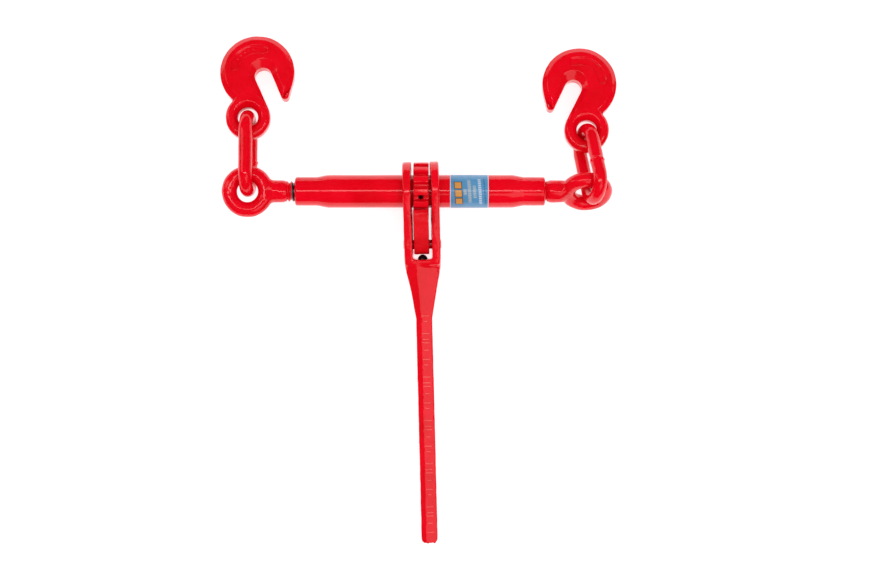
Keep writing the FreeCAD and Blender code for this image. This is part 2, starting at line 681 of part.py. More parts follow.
def grab_hook():
    """A grab hook in the XY plane: bevelled forging with an eye, a throat and recessed faces."""
    outline, waist = hook_outline()
    half = HOOK_THICKNESS / 2
    slab = Part.Face(outline).extrude(Vector(0, 0, HOOK_THICKNESS))
    slab.translate(Vector(0, 0, -half))
    corner = [
        edge for edge in slab.Edges
        if abs(edge.CenterOfMass.x - waist[0]) + abs(edge.CenterOfMass.y - waist[1]) < 0.01
    ]
    slab = slab.makeFillet(WAIST_ROUND, corner)
    # side view: faces that swell from the eye to the bowl
    low, top = EYE_THICKNESS / 2, BOWL_Y + BOWL_D / 2
    upper = Part.Arc(Vector(-BOWL_D, -EYE_D / 2 - 1, low - HOOK_FACE_FALL), Vector(-BOWL_D, BOWL_Y, half),
                     Vector(-BOWL_D, top + 1, half - HOOK_FACE_FALL)).toShape()
    lower = upper.mirror(Vector(0, 0, 0), Z_AXIS)
    ends = [Part.makeLine(upper.Vertexes[n].Point, lower.Vertexes[n].Point) for n in (0, 1)]
    envelope = Part.Face(Part.Wire(Part.sortEdges([upper, ends[1], lower, ends[0]])[0]))
    body = slab.common(envelope.extrude(Vector(3 * BOWL_D, 0, 0)))
    body = body.makeChamfer(HOOK_BEVEL, [edge for edge in body.Edges if on_rim(edge)])
    recess = hook_recess()
    upper_recess, lower_recess = recess.copy(), recess.copy()
    upper_recess.translate(Vector(0, 0, half - RECESS_DEPTH))
    lower_recess.translate(Vector(0, 0, -half + RECESS_DEPTH - HOOK_THICKNESS))
    hole_r = EYE_HOLE_D / 2
    land = low - EYE_BEVEL
    mouth_r = hole_r + half - land
    hole = Part.Face(Part.makePolygon([
        Vector(0, 0, -half), Vector(mouth_r, 0, -half), Vector(hole_r, 0, -land),
        Vector(hole_r, 0, land), Vector(mouth_r, 0, half), Vector(0, 0, half), Vector(0, 0, -half),
    ])).revolve(Vector(0, 0, 0), Z_AXIS, 360)
    return body.cut([upper_recess, lower_recess, hole])


def hook_tilt(stock):
    """The hook's tilt, in radians, that lays its far end on the surface, from its eye's stock."""
    far, half = eye_mid_r + BOWL_Y + BOWL_D / 2 - HOOK_BEVEL, HOOK_THICKNESS / 2
    return asin((stock.z + lie_down()[0]) / hypot(far, half)) - atan2(half, far)


def place_hook(shape, side, rest, turn):
    """Hang a hook in the far end of its link, tilted down to the surface."""
    if side > 0:
        shape = shape.mirror(Vector(0, 0, 0), X_AXIS)
    shape.rotate(Vector(0, 0, 0), Z_AXIS, rest.heading)
    stock = eye_stock_middle(side, rest, turn)
    tilt = hook_tilt(stock)
    shape.rotate(Vector(0, 0, 0), X_AXIS, -degrees(tilt))
    shape.translate(stock + Vector(0, cos(tilt), -sin(tilt)) * eye_mid_r)
    return shape


def eye_stock_middle(side, rest, turn):
    """Where the stock of a hook's eye crosses its link."""
    along, across = link_axes(side, rest)
    reach = link_leg / 2 + link_bend_r - link_stock_r - eye_stock / 2 - rest.eye_play
    return link_centre(side, rest, turn) + along * reach + across * rest.eye_shift


def pieces():
    """Every piece by its node's name, about the middle of the barrel."""
    made = {
        "barrel_tube": barrel_tube(),
        "ratchet_gear": ratchet_gear(),
        "gear_pin_upper": gear_pin(1),
        "gear_pin_lower": gear_pin(-1),
        "label": label(),
    }
    for name, make in (
        ("handle", handle),
        ("pawl", pawl),
        ("pawl_pin", pawl_pin),
        ("detent_plunger", detent_plunger),
        ("detent_spring", detent_spring),
    ):
        made[name] = place_on_handle(make())
    for name, side, rest, turn in (
        ("left", -1, LEFT_REST, LEFT_RING_TURN),
        ("right", 1, RIGHT_REST, RIGHT_RING_TURN),
    ):
        made[name + "_eye_bolt"] = place_screw(eye_bolt(), side, turn)
        made[name + "_stop_pin"] = place_screw(stop_pin(), side, turn)
        made[name + "_stop_washer"] = place_screw(stop_washer(), side, turn)
        made[name + "_link"] = chain_link(side, rest, turn)
        made[name + "_hook"] = place_hook(grab_hook(), side, rest, turn)
    return made


def main():
    """Make every piece, set the binder over the origin, and write one STEP file for each piece."""
    made = pieces()
    box = Part.makeCompound(list(made.values())).optimalBoundingBox(False)
    home = Vector(-box.Center.x, -box.Center.y, lie_down()[0])
    os.makedirs("parts", exist_ok=True)
    for name, shape in made.items():
        shape.translate(home)
        shape.exportStep("parts/" + name + ".step")


main()
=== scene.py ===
"""Looks of a ratchet chain binder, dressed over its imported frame.

Everything is in metres in the frame's own axes: +X along the barrel, +Y towards the hooks, +Z up.
"""

import json
import logging
import math
from collections.abc import Callable, Iterable, Sequence
from dataclasses import dataclass, field
from enum import Enum

import bmesh
import bpy
from bmesh.types import BMesh, BMVert
from mathutils import Matrix, Vector, noise
from mathutils.bvhtree import BVHTree


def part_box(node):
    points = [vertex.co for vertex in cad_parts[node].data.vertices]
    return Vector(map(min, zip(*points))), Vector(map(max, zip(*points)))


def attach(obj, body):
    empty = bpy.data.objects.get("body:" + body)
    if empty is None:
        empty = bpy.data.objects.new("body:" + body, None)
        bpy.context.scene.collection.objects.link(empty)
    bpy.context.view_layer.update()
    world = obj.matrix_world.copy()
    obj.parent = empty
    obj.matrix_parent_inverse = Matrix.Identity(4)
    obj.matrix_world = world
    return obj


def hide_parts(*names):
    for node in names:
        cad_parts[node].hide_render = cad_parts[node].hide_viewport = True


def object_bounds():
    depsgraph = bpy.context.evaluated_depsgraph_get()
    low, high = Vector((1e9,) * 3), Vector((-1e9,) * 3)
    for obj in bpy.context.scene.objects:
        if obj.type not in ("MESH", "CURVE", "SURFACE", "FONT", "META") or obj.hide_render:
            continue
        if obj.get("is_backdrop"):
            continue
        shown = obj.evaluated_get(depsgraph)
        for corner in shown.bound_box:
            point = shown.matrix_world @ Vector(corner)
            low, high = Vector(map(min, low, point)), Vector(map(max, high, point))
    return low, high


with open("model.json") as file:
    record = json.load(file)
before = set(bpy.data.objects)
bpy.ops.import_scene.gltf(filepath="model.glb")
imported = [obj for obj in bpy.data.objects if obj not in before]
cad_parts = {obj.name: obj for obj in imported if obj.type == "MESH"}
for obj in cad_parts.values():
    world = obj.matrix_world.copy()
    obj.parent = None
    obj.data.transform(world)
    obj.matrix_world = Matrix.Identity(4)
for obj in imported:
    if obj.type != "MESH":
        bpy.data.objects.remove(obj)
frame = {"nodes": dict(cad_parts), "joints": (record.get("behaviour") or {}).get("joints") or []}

LOG = logging.getLogger("chain_binder")
MM = 0.001
MERGE = 0.002 * MM
X_AXIS = Vector((1.0, 0.0, 0.0))
Z_AXIS = Vector((0.0, 0.0, 1.0))


class Slot(Enum):
    """The finishes that the frame's record names."""

    ENAMEL = "red_enamel"
    FILM = "label_film"
    PIN = "pin_steel"
    SPRING = "spring_steel"
    DARK = "dark_steel"


class Side(Enum):
    """The two ends of the barrel."""

    LEFT = "left"
    RIGHT = "right"

    @property
    def out(self) -> float:
        """The direction along X away from the barrel."""
        return -1.0 if self is Side.LEFT else 1.0


# ---------------------------------------------------------------- the frame's own facts


def joint_spot(name: str) -> Vector:
    """The point that a hinge of the frame turns about."""
    return Vector(next(j for j in frame["joints"] if j["name"] == name)["pos_m"])


def joint_axis(name: str) -> Vector:
    """The direction of a joint's axis in the frame."""
    return Vector(next(j for j in frame["joints"] if j["name"] == name)["axis"]).normalized()


# ---------------------------------------------------------------- mesh work


def cad_copy(node: str) -> BMesh:
    """A merged copy of a node's mesh.

    Args:
        node: the node's name in the frame.
    Returns:
        A new mesh with its doubles merged.
    """
    mesh = bmesh.new()
    mesh.from_mesh(frame["nodes"][node].data)
    bmesh.ops.remove_doubles(mesh, verts=mesh.verts, dist=MERGE)
    return mesh


def forged(mesh: BMesh, voxel: float, passes: int) -> BMesh:
    """Gives a mesh an even skin and the soft edges of a painted forging.

    Args:
        mesh: the closed shape, which is freed.
        voxel: the skin's grain in metres.
        passes: how many times the skin is smoothed.
    Returns:
        The new mesh.
    """
    blank = bpy.data.meshes.new("blank")
    mesh.to_mesh(blank)
    mesh.free()
    holder = bpy.data.objects.new("blank", blank)
    bpy.context.scene.collection.objects.link(holder)
    remesh = holder.modifiers.new("skin", "REMESH")
    remesh.mode = "VOXEL"
    remesh.voxel_size = voxel
    posed = holder.evaluated_get(bpy.context.evaluated_depsgraph_get())
    skin = bpy.data.meshes.new_from_object(posed)
    result = bmesh.new()
    result.from_mesh(skin)
    bpy.data.objects.remove(holder)
    bpy.data.meshes.remove(blank)
    bpy.data.meshes.remove(skin)
    smooth(result, result.verts, passes)
    return result


def smooth(mesh: BMesh, verts: Iterable[BMVert], passes: int) -> None:
    """Relaxes some of a mesh's vertices.

    Args:
        mesh: the mesh.
        verts: the vertices to relax.
        passes: how many times.
    """
    chosen = list(verts)
    for _ in range(passes):
        bmesh.ops.smooth_vert(
            mesh, verts=chosen, factor=0.5, use_axis_x=True, use_axis_y=True, use_axis_z=True
        )


def roughen(
    mesh: BMesh, height: float, grain: float, seed: float, share: Callable[[Vector], float] | None = None
) -> None:
    """Moves a skin in and out along its normals by smooth noise.

    Args:
        mesh: the mesh to work on.
        height: the largest move in metres.
        grain: the size of one lump in metres.
        seed: a shift that makes each piece's lumps its own.
        share: how much of the height a spot gets, from 0 to 1; all of it when there is none.
    """
    mesh.normal_update()
    offset = Vector((seed, seed * 0.7, -seed))
    moves = []
    for vert in mesh.verts:
        reach = height * share(vert.co) if share else height
        moves.append(vert.normal * (reach * noise.noise(vert.co / grain + offset)))
    for vert, move in zip(mesh.verts, moves):
        vert.co += move


def spun(profile: Sequence[tuple[float, float]], centre: Vector, steps: int, closed: bool = True) -> BMesh:
    """Spins a profile about an axis along X.

    Args:
        profile: points as (distance along X from the centre, radius).
        centre: a point on the axis.
        steps: the number of steps round.
        closed: joins the last point to the first.
    Returns:
        The new mesh.
    """
    mesh = bmesh.new()
    verts = [mesh.verts.new(centre + Vector((x, 0.0, radius))) for x, radius in profile]
    ends = zip(verts, verts[1:] + verts[:1]) if closed else zip(verts, verts[1:])
    edges = [mesh.edges.new(pair) for pair in ends]
    bmesh.ops.spin(
        mesh, geom=verts + edges, cent=centre, axis=X_AXIS, angle=math.tau, steps=steps, use_merge=True
    )
    bmesh.ops.remove_doubles(mesh, verts=mesh.verts, dist=MERGE)
    bmesh.ops.recalc_face_normals(mesh, faces=mesh.faces)
    return mesh


def round_edges(mesh: BMesh, sharper_than: float, width: float, segments: int = 3) -> None:
    """Rounds a mesh's sharp edges.

    Args:
        mesh: the mesh to work on.
        sharper_than: the least angle between two faces, in degrees, that counts as sharp.
        width: the width of the round in metres.
        segments: its number of steps.
    """
    limit = math.radians(sharper_than)
    edges = [e for e in mesh.edges if len(e.link_faces) == 2 and e.calc_face_angle() > limit]
    bmesh.ops.bevel(
        mesh, geom=edges, offset=width, offset_type="OFFSET", affect="EDGES", segments=segments,
        profile=0.5, material=-1, clamp_overlap=True,
    )


def joined(parts: Iterable[BMesh]) -> BMesh:
    """Puts several meshes together in one, and frees them.

    Args:
        parts: the meshes.
    Returns:
        The new mesh.
    """
    whole = bmesh.new()
    for part in parts:
        mesh = bpy.data.meshes.new("part")
        part.to_mesh(mesh)
        part.free()
        whole.from_mesh(mesh)
        bpy.data.meshes.remove(mesh)
    return whole


def add_piece(
    name: str, mesh: BMesh, body: str, material: bpy.types.Material,
    replaces: Sequence[str] = (), crease: float = 42.0,
) -> bpy.types.Object:
    """Makes a finished piece that rides on a body of the frame.

    Args:
        name: the piece's name.
        mesh: its shape, which is freed.
        body: the body it rides on.
        material: its material.
        replaces: the nodes that it stands for.
        crease: the angle in degrees past which an edge stays sharp in shading.
    Returns:
        The new object.
    """
    limit = math.radians(crease)
    for face in mesh.faces:
        face.smooth = True
    for edge in mesh.edges:
        if len(edge.link_faces) == 2 and edge.calc_face_angle() > limit:
            edge.smooth = False
    data = bpy.data.meshes.new(name)
    mesh.to_mesh(data)
    LOG.info("%s: %d faces, on %s", name, len(mesh.faces), body)
    mesh.free()
    data.materials.append(material)
    piece = bpy.data.objects.new(name, data)
    bpy.context.scene.collection.objects.link(piece)
    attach(piece, body)
    if replaces:
        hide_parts(*replaces)
    return piece


# ---------------------------------------------------------------- materials


class Graph:
    """A short way to write a material's or a group's nodes."""

    def __init__(self, tree: bpy.types.NodeTree) -> None:
        """Starts on an empty tree."""
        self.tree = tree
        tree.nodes.clear()

    def add(self, kind: str, values: dict | None = None, **settings: object) -> bpy.types.Node:
        """Adds a node.

        Args:
            kind: the node's type, without its leading ShaderNode.
            values: what its input sockets take, a number, a colour or another node's socket.
            settings: the node's own settings.
        Returns:
            The node.
        """
        node = self.tree.nodes.new("ShaderNode" + kind)
        for key, value in settings.items():
            setattr(node, key, value)
        for key, value in (values or {}).items():
            self.feed(node.inputs[key], value)
        return node

    def feed(self, socket: bpy.types.NodeSocket, value: object) -> None:
        """Sets a socket, or links another node's socket to it.

        Args:
            socket: the input socket.
            value: a number, a colour or another node's socket.
        """
        if isinstance(value, bpy.types.NodeSocket):
            self.tree.links.new(value, socket)
        else:
            socket.default_value = value

    def math(self, operation: str, *values: object) -> bpy.types.NodeSocket:
        """A Math node's result."""
        return self.add("Math", dict(enumerate(values)), operation=operation).outputs[0]

    def blend(self, share: object, first: object, second: object) -> bpy.types.NodeSocket:
        """A mix of two colours."""
        return self.add("Mix", {0: share, 6: first, 7: second}, data_type="RGBA").outputs[2]

    def ramp(
        self, value: object, low: float, high: float, start: float = 0.0, end: float = 1.0
    ) -> bpy.types.NodeSocket:
        """A value taken from one range to another, and held at its ends."""
        values = {"Value": value, "From Min": low, "From Max": high, "To Min": start, "To Max": end}
        return self.add("MapRange", values, clamp=True).outputs[0]

    def noise(
        self, where: object, scale: object, detail: float = 2.0, roughness: float = 0.5
    ) -> bpy.types.NodeSocket:
        """A noise texture's value."""
        values = {"Vector": where, "Scale": scale, "Detail": detail, "Roughness": roughness}
        return self.add("TexNoise", values).outputs["Fac"]


def new_group(
    name: str, inputs: dict[str, float], outputs: Sequence[str]
) -> tuple[bpy.types.NodeTree, Graph]:
    """Starts a shader group whose sockets are all plain values.

    Args:
        name: the group's name.
        inputs: its inputs, with their defaults.
        outputs: its outputs.
    Returns:
        The group and a graph to fill it with.
    """
    tree = bpy.data.node_groups.new(name, "ShaderNodeTree")
    for label, default in inputs.items():
        socket = tree.interface.new_socket(label, in_out="INPUT", socket_type="NodeSocketFloat")
        socket.default_value = default
    for label in outputs:
        tree.interface.new_socket(label, in_out="OUTPUT", socket_type="NodeSocketFloat")
    return tree, Graph(tree)


def paint_skin_group() -> bpy.types.NodeTree:
    """The skin of thick paint over metal: fine peel, hammer dents, slow lumps, and tone.

    Returns:
        The group.
    """
    inputs = {"Peel Scale": 420.0, "Peel": 0.2, "Dent Scale": 160.0, "Dents": 0.5, "Lumps": 0.4}
    tree, graph = new_group("paint_skin", inputs, ("Height", "Tone", "Dent"))
    given = tree.nodes.new("NodeGroupInput").outputs
    where = graph.add("TexCoord").outputs["Object"]
    peel = graph.math("MULTIPLY", graph.noise(where, given["Peel Scale"], 1.0), given["Peel"])
    bend = graph.add("TexNoise", {"Vector": where, "Scale": 90.0, "Detail": 2.0}).outputs["Color"]
    shifted = graph.add("VectorMath", {0: bend, 1: (0.004, 0.004, 0.004)}, operation="MULTIPLY").outputs[0]
    bent = graph.add("VectorMath", {0: where, 1: shifted}, operation="ADD").outputs[0]
    cells = graph.add(
        "TexVoronoi", {"Vector": bent, "Scale": given["Dent Scale"], "Smoothness": 0.8}, feature="SMOOTH_F1"
    ).outputs["Distance"]
    dent = graph.ramp(cells, 0.05, 0.75)
    dents = graph.math("MULTIPLY", dent, given["Dents"])
    lumps = graph.math("MULTIPLY", graph.noise(where, 70.0, 3.0, 0.55), given["Lumps"])
    height = graph.math("ADD", graph.math("ADD", peel, dents), lumps)
    tone = graph.ramp(graph.noise(where, 38.0, 4.0, 0.6), 0.3, 0.7)
    out = tree.nodes.new("NodeGroupOutput").inputs
    graph.feed(out["Height"], height)
    graph.feed(out["Tone"], tone)
    graph.feed(out["Dent"], dent)
    return tree


def edge_highlight_and_hollow_shade_group() -> bpy.types.NodeTree:
    """Masks for painted light: a painted highlight on a piece's convex edges, and painted shade in its
    hollows.

    Returns:
        The group.
    """
    tree, graph = new_group("edge_highlight_and_hollow_shade", {"Breakup": 0.5}, ("Edge Highlight", "Hollow Shade"))
    given = tree.nodes.new("NodeGroupInput").outputs
    where = graph.add("TexCoord").outputs["Object"]
    point = graph.add("NewGeometry").outputs["Pointiness"]
    # a noise that breaks up both the painted highlight and the painted shade
    grain = graph.ramp(graph.noise(where, 260.0, 3.0, 0.6), 0.35, 0.65)
    wear_and_sheen = graph.math("MULTIPLY", grain, given["Breakup"])
    kept = graph.math("SUBTRACT", 1.0, wear_and_sheen)
    # painted highlight: the convex edges, found by pointiness
    edge = graph.math("MULTIPLY", graph.ramp(point, 0.515, 0.60), kept)
    # painted shade: the hollows, found by pointiness
    hollow_shade = graph.math("MULTIPLY", graph.ramp(point, 0.485, 0.41), kept)
    out = tree.nodes.new("NodeGroupOutput").inputs
    graph.feed(out["Edge Highlight"], edge)
    graph.feed(out["Hollow Shade"], hollow_shade)
    return tree


def smudge_group() -> bpy.types.NodeTree:
    """Handling smudges and fine scratches, as a change of gloss.

    Returns:
        The group.
    """
    tree, graph = new_group("smudge", {"Amount": 0.1, "Base": 0.2}, ("Gloss", "Scratch"))
    given = tree.nodes.new("NodeGroupInput").outputs
    where = graph.add("TexCoord").outputs["Object"]
    patches = graph.ramp(graph.noise(where, 22.0, 5.0, 0.65), 0.35, 0.75)
    squeezed = graph.add(
        "Mapping", {"Vector": where, "Scale": (90.0, 900.0, 900.0), "Rotation": (0.3, 0.2, 0.9)}
    ).outputs[0]
    scratch = graph.ramp(graph.noise(squeezed, 1.0, 2.0, 0.5), 0.69, 0.76)
    rough = graph.math("ADD", given["Base"], graph.math("MULTIPLY", patches, given["Amount"]))
    out = tree.nodes.new("NodeGroupOutput").inputs
    graph.feed(out["Gloss"], rough)
    graph.feed(out["Scratch"], scratch)
    return tree


@dataclass(frozen=True)
class Groups:
    """The shader groups that the finishes share."""

    skin: bpy.types.NodeTree = field(default_factory=paint_skin_group)
    edges: bpy.types.NodeTree = field(default_factory=edge_highlight_and_hollow_shade_group)
    smudge: bpy.types.NodeTree = field(default_factory=smudge_group)


def new_material(name: str) -> tuple[bpy.types.Material, Graph]:
    """Starts a material with an empty graph.

    Args:
        name: the material's name.
    Returns:
        The material and its graph.
    """
    material = bpy.data.materials.new(name)
    material.use_nodes = True
    return material, Graph(material.node_tree)


def place_group(graph: Graph, tree: bpy.types.NodeTree, values: dict) -> bpy.types.Node:
    """Puts a shader group in a graph, with its own values.

    Args:
        graph: the graph to put it in.
        tree: the group.
        values: what its inputs take, by name.
    Returns:
        The group's node.
    """
    node = graph.tree.nodes.new("ShaderNodeGroup")
    node.node_tree = tree
    for label, value in values.items():
        graph.feed(node.inputs[label], value)
    return node


Colour = tuple[float, float, float, float]


@dataclass(frozen=True)
class Enamel:
    """Thick red enamel, brushed or dipped over a forging, a tube or cut teeth."""

    name: str
    peel: float = 0.18
    dents: float = 0.0
    dent_scale: float = 170.0
    lumps: float = 0.35
    depth: float = 0.22 * MM
    rough: float = 0.2
    bright: Colour = (0.88, 0.0006, 0.013, 1.0)
    deep: Colour = (0.74, 0.0004, 0.006, 1.0)
    edge: Colour = (0.92, 0.022, 0.03, 1.0)
    # The edge colour is a painted highlight, lighter and pinker, laid on convex edges; the hollow colour is
    # painted shade, laid dark red in hollows.
    hollow_shade: Colour = (0.16, 0.0004, 0.001, 1.0)
    edge_share: float = 0.35
    hollow_shade_share: float = 0.75
    scratch_share: float = 0.12
    steel_dark: Colour = (0.16, 0.155, 0.15, 1.0)
    steel_light: Colour = (0.34, 0.33, 0.32, 1.0)
    bare_ragged: float = 3.4 * MM
    steel_from: tuple[float, float] | None = None

    def material(self, groups: Groups) -> bpy.types.Material:
        """Builds the material.

        Args:
            groups: the shared shader groups.
        Returns:
            The new material.
        """
        material, graph = new_material(self.name)
        skin = place_group(
            graph, groups.skin,
            {"Peel": self.peel, "Dents": self.dents, "Dent Scale": self.dent_scale, "Lumps": self.lumps},
        ).outputs
        rims = place_group(graph, groups.edges, {"Breakup": 0.55}).outputs
        gloss = place_group(graph, groups.smudge, {"Amount": 0.06, "Base": self.rough}).outputs
        colour = graph.blend(skin["Tone"], self.deep, self.bright)
        # painted highlight on the convex edges, then painted shade in the hollows
        colour = graph.blend(graph.math("MULTIPLY", rims["Edge Highlight"], self.edge_share), colour, self.edge)
        colour = graph.blend(graph.math("MULTIPLY", rims["Hollow Shade"], self.hollow_shade_share), colour, self.hollow_shade)
        scratch = graph.math("MULTIPLY", gloss["Scratch"], self.scratch_share)
        rough = graph.math("ADD", gloss["Gloss"], scratch)
        height = skin["Height"]
        values = {"IOR": 1.5, "Coat Weight": 0.25, "Coat Roughness": 0.05, "Specular IOR Level": 0.34}
        if self.steel_from:
            bare = self.bare_steel(graph)
            steel = graph.blend(skin["Tone"], self.steel_dark, self.steel_light)
            colour = graph.blend(bare, colour, steel)
            values["Metallic"] = graph.math("MULTIPLY", bare, 0.95)
            rough = graph.math("ADD", rough, graph.math("MULTIPLY", bare, 0.16))
            values["Coat Weight"] = graph.math("MULTIPLY", graph.math("SUBTRACT", 1.0, bare), 0.25)
            height = graph.math("SUBTRACT", height, graph.math("MULTIPLY", bare, 0.8))
        bump = graph.add("Bump", {"Height": height, "Strength": 1.0, "Distance": self.depth}).outputs[0]
        values.update({"Base Color": colour, "Roughness": rough, "Normal": bump})
        shader = graph.add("BsdfPrincipled", values)
        graph.add("OutputMaterial", {"Surface": shader.outputs[0]})
        return material

    def bare_steel(self, graph: Graph) -> bpy.types.NodeSocket:
        """A mask, with a ragged edge, that is 1 where the paint stops along X.

        Args:
            graph: the material's graph.
        Returns:
            The mask.
        """
        painted, bare = self.steel_from
        where = graph.add("TexCoord").outputs["Object"]
        along = graph.add("SeparateXYZ", {0: where}).outputs[0]
        uneven = graph.math("SUBTRACT", graph.noise(where, 420.0, 4.0, 0.7), 0.5)
        ragged = graph.math("MULTIPLY", uneven, self.bare_ragged)
        return graph.ramp(graph.math("ADD", along, ragged), painted, bare)


@dataclass(frozen=True)
class Steel:
    """Plain steel, drawn, turned or blackened."""

    name: str
    light: Colour = (0.42, 0.41, 0.40, 1.0)
    dark: Colour = (0.22, 0.215, 0.21, 1.0)
    rough: float = 0.28
    line_scale: tuple[float, float, float] = (60.0, 2200.0, 2200.0)
    # the oil colour serves for random oil stains, and as painted shade in the hollows
    oil_and_shade: Colour = (0.10, 0.06, 0.035, 1.0)

    def material(self, groups: Groups) -> bpy.types.Material:
        """Builds the material.

        Args:
            groups: the shared shader groups.
        Returns:
            The new material.
        """
        material, graph = new_material(self.name)
        where = graph.add("TexCoord").outputs["Object"]
        lines = graph.add("Mapping", {"Vector": where, "Scale": self.line_scale}).outputs[0]
        drawn = graph.noise(lines, 1.0, 3.0, 0.6)
        rims = place_group(graph, groups.edges, {"Breakup": 0.3}).outputs
        gloss = place_group(graph, groups.smudge, {"Amount": 0.15, "Base": self.rough}).outputs
        colour = graph.blend(graph.ramp(drawn, 0.3, 0.7), self.dark, self.light)
        # Painted shade: the hollows are darkened with the oil colour; the random stains below are oil.
        colour = graph.blend(graph.math("MULTIPLY", rims["Hollow Shade"], 0.8), colour, self.oil_and_shade)
        stain = graph.ramp(graph.noise(where, 150.0, 4.0, 0.7), 0.58, 0.72, 0.0, 0.5)
        colour = graph.blend(stain, colour, self.oil_and_shade)
        bump = graph.add("Bump", {"Height": drawn, "Strength": 0.5, "Distance": 0.03 * MM}).outputs[0]
        shader = graph.add("BsdfPrincipled", {
            "Base Color": colour, "Metallic": 0.9, "Roughness": gloss["Gloss"], "Normal": bump,
        })
        graph.add("OutputMaterial", {"Surface": shader.outputs[0]})
        return material


@dataclass(frozen=True)
class Column:
    """A column of small printed blocks that runs round the barrel; sizes in millimetres."""

    offset: float
    wide: float
    middle: float
    tall: float
    ink: Colour
    beat: float = 1.9


@dataclass(frozen=True)
class LabelFilm:
    """Printed film: a blue field, pale borders, three plain orange squares and columns of blocks."""

    name: str
    length: float
    girth: float
    field_blue: Colour = (0.075, 0.255, 0.480, 1.0)
    light_blue: Colour = (0.095, 0.300, 0.540, 1.0)
    pale: Colour = (0.60, 0.66, 0.76, 1.0)
    orange: Colour = (0.66, 0.29, 0.06, 1.0)
    ink: Colour = (0.06, 0.05, 0.045, 1.0)
    straw: Colour = (0.50, 0.49, 0.44, 1.0)
    navy: Colour = (0.03, 0.12, 0.26, 1.0)
    slant: float = 0.07
    square: float = 6.6 * MM
    square_step: float = 8.6 * MM
    squares: int = 3
    squares_at: tuple[float, float] = (8.4 * MM, -3.0 * MM)
    outline: float = 0.7 * MM
    border: tuple[float, float] = (0.9 * MM, 0.6 * MM)
    blur: float = 0.06 * MM

    def columns(self) -> tuple[Column, ...]:
        """The printed columns, from the left border to the right one.

        Returns:
            The columns.
        """
        return (
            Column(offset=15.2, wide=3.0, middle=-1.5, tall=6.0, ink=self.straw),
            Column(offset=19.6, wide=3.2, middle=-0.6, tall=25.0, ink=self.straw),
            Column(offset=24.8, wide=3.0, middle=-1.4, tall=13.0, ink=self.straw),
            Column(offset=30.2, wide=3.0, middle=-0.8, tall=29.0, ink=self.pale, beat=2.3),
            Column(offset=35.0, wide=1.3, middle=-0.6, tall=31.0, ink=self.navy, beat=2.9),
        )

    def material(self, groups: Groups) -> bpy.types.Material:
        """Builds the material.

        Args:
            groups: the shared shader groups.
        Returns:
            The new material.
        """
        material, graph = new_material(self.name)
        print_map = graph.add("UVMap", uv_map="print").outputs[0]
        place = graph.add("SeparateXYZ", {0: print_map}).outputs
        around = graph.math("MULTIPLY", graph.math("SUBTRACT", place[1], 0.5), self.girth)
        straight = graph.math("MULTIPLY", place[0], self.length)
        along = graph.math("ADD", straight, graph.math("MULTIPLY", around, self.slant))
        where = graph.add("TexCoord").outputs["Object"]
        fade = graph.ramp(graph.noise(where, 60.0, 4.0, 0.6), 0.3, 0.7)
        colour = graph.blend(fade, self.field_blue, self.light_blue)
        wear_and_sheen = graph.ramp(graph.noise(where, 900.0, 3.0, 0.6), 0.35, 0.55, 0.35, 0.9)
        for column in self.columns():
            block = self.blocks(graph, along, around, column)
            colour = graph.blend(graph.math("MULTIPLY", block, wear_and_sheen), colour, column.ink)
        colour = graph.blend(self.badge(graph, along, around, self.outline), colour, self.ink)
        colour = graph.blend(self.badge(graph, along, around, 0.0), colour, self.orange)
        middle = graph.math("ABSOLUTE", graph.math("SUBTRACT", place[0], 0.5))
        start, end = (0.5 - reach / self.length for reach in self.border)
        colour = graph.blend(graph.ramp(middle, start, end), colour, self.pale)
        gloss = place_group(graph, groups.smudge, {"Amount": 0.16, "Base": 0.26}).outputs
        wrinkle = graph.noise(where, 120.0, 2.0, 0.5)
        bump = graph.add("Bump", {"Height": wrinkle, "Strength": 0.4, "Distance": 0.10 * MM}).outputs[0]
        shader = graph.add("BsdfPrincipled", {
            "Base Color": colour, "Roughness": gloss["Gloss"], "Normal": bump, "Coat Weight": 0.25,
            "Coat Roughness": 0.12,
        })
        graph.add("OutputMaterial", {"Surface": shader.outputs[0]})
        return material

    def inside(self, graph: Graph, value: object, middle: float, size: float) -> bpy.types.NodeSocket:
        """A mask that is 1 within half a size of a middle."""
        away = graph.math("ABSOLUTE", graph.math("SUBTRACT", value, middle))
        return graph.ramp(away, size / 2 + self.blur, size / 2 - self.blur)

    def blocks(self, graph: Graph, along: object, around: object, column: Column) -> bpy.types.NodeSocket:
        """A column of short plain blocks, as a mask.

        Args:
            graph: the material's graph.
            along: the place along the barrel, as a socket.
            around: the place round it, as a socket.
            column: the sizes of the column.
        Returns:
            The mask.
        """
        across = self.inside(graph, along, column.offset * MM, column.wide * MM)
        within = self.inside(graph, around, column.middle * MM, column.tall * MM)
        beat = graph.math("FRACT", graph.math("DIVIDE", around, column.beat * MM))
        block = graph.ramp(beat, 0.80, 0.72)
        return graph.math("MULTIPLY", graph.math("MULTIPLY", across, within), block)

    def badge(self, graph: Graph, along: object, around: object, border: float) -> bpy.types.NodeSocket:
        """A row of plain squares that runs round the barrel, as a mask, each wider by a border.

        Args:
            graph: the material's graph.
            along: the place along the barrel, as a socket.
            around: the place round it, as a socket.
            border: how far each square reaches past its size.
        Returns:
            The mask.
        """
        start, middle = self.squares_at
        across = self.inside(graph, along, start, self.square + 2 * border)
        total = self.square_step * self.squares
        within = self.inside(graph, around, middle, total)
        shifted = graph.math("DIVIDE", graph.math("SUBTRACT", around, middle - total / 2), self.square_step)
        beat = graph.math("ABSOLUTE", graph.math("SUBTRACT", graph.math("FRACT", shifted), 0.5))
        limit = (self.square / 2 + border) / self.square_step
        tile = graph.ramp(beat, limit + 0.01, limit - 0.01)
        return graph.math("MULTIPLY", graph.math("MULTIPLY", across, within), tile)


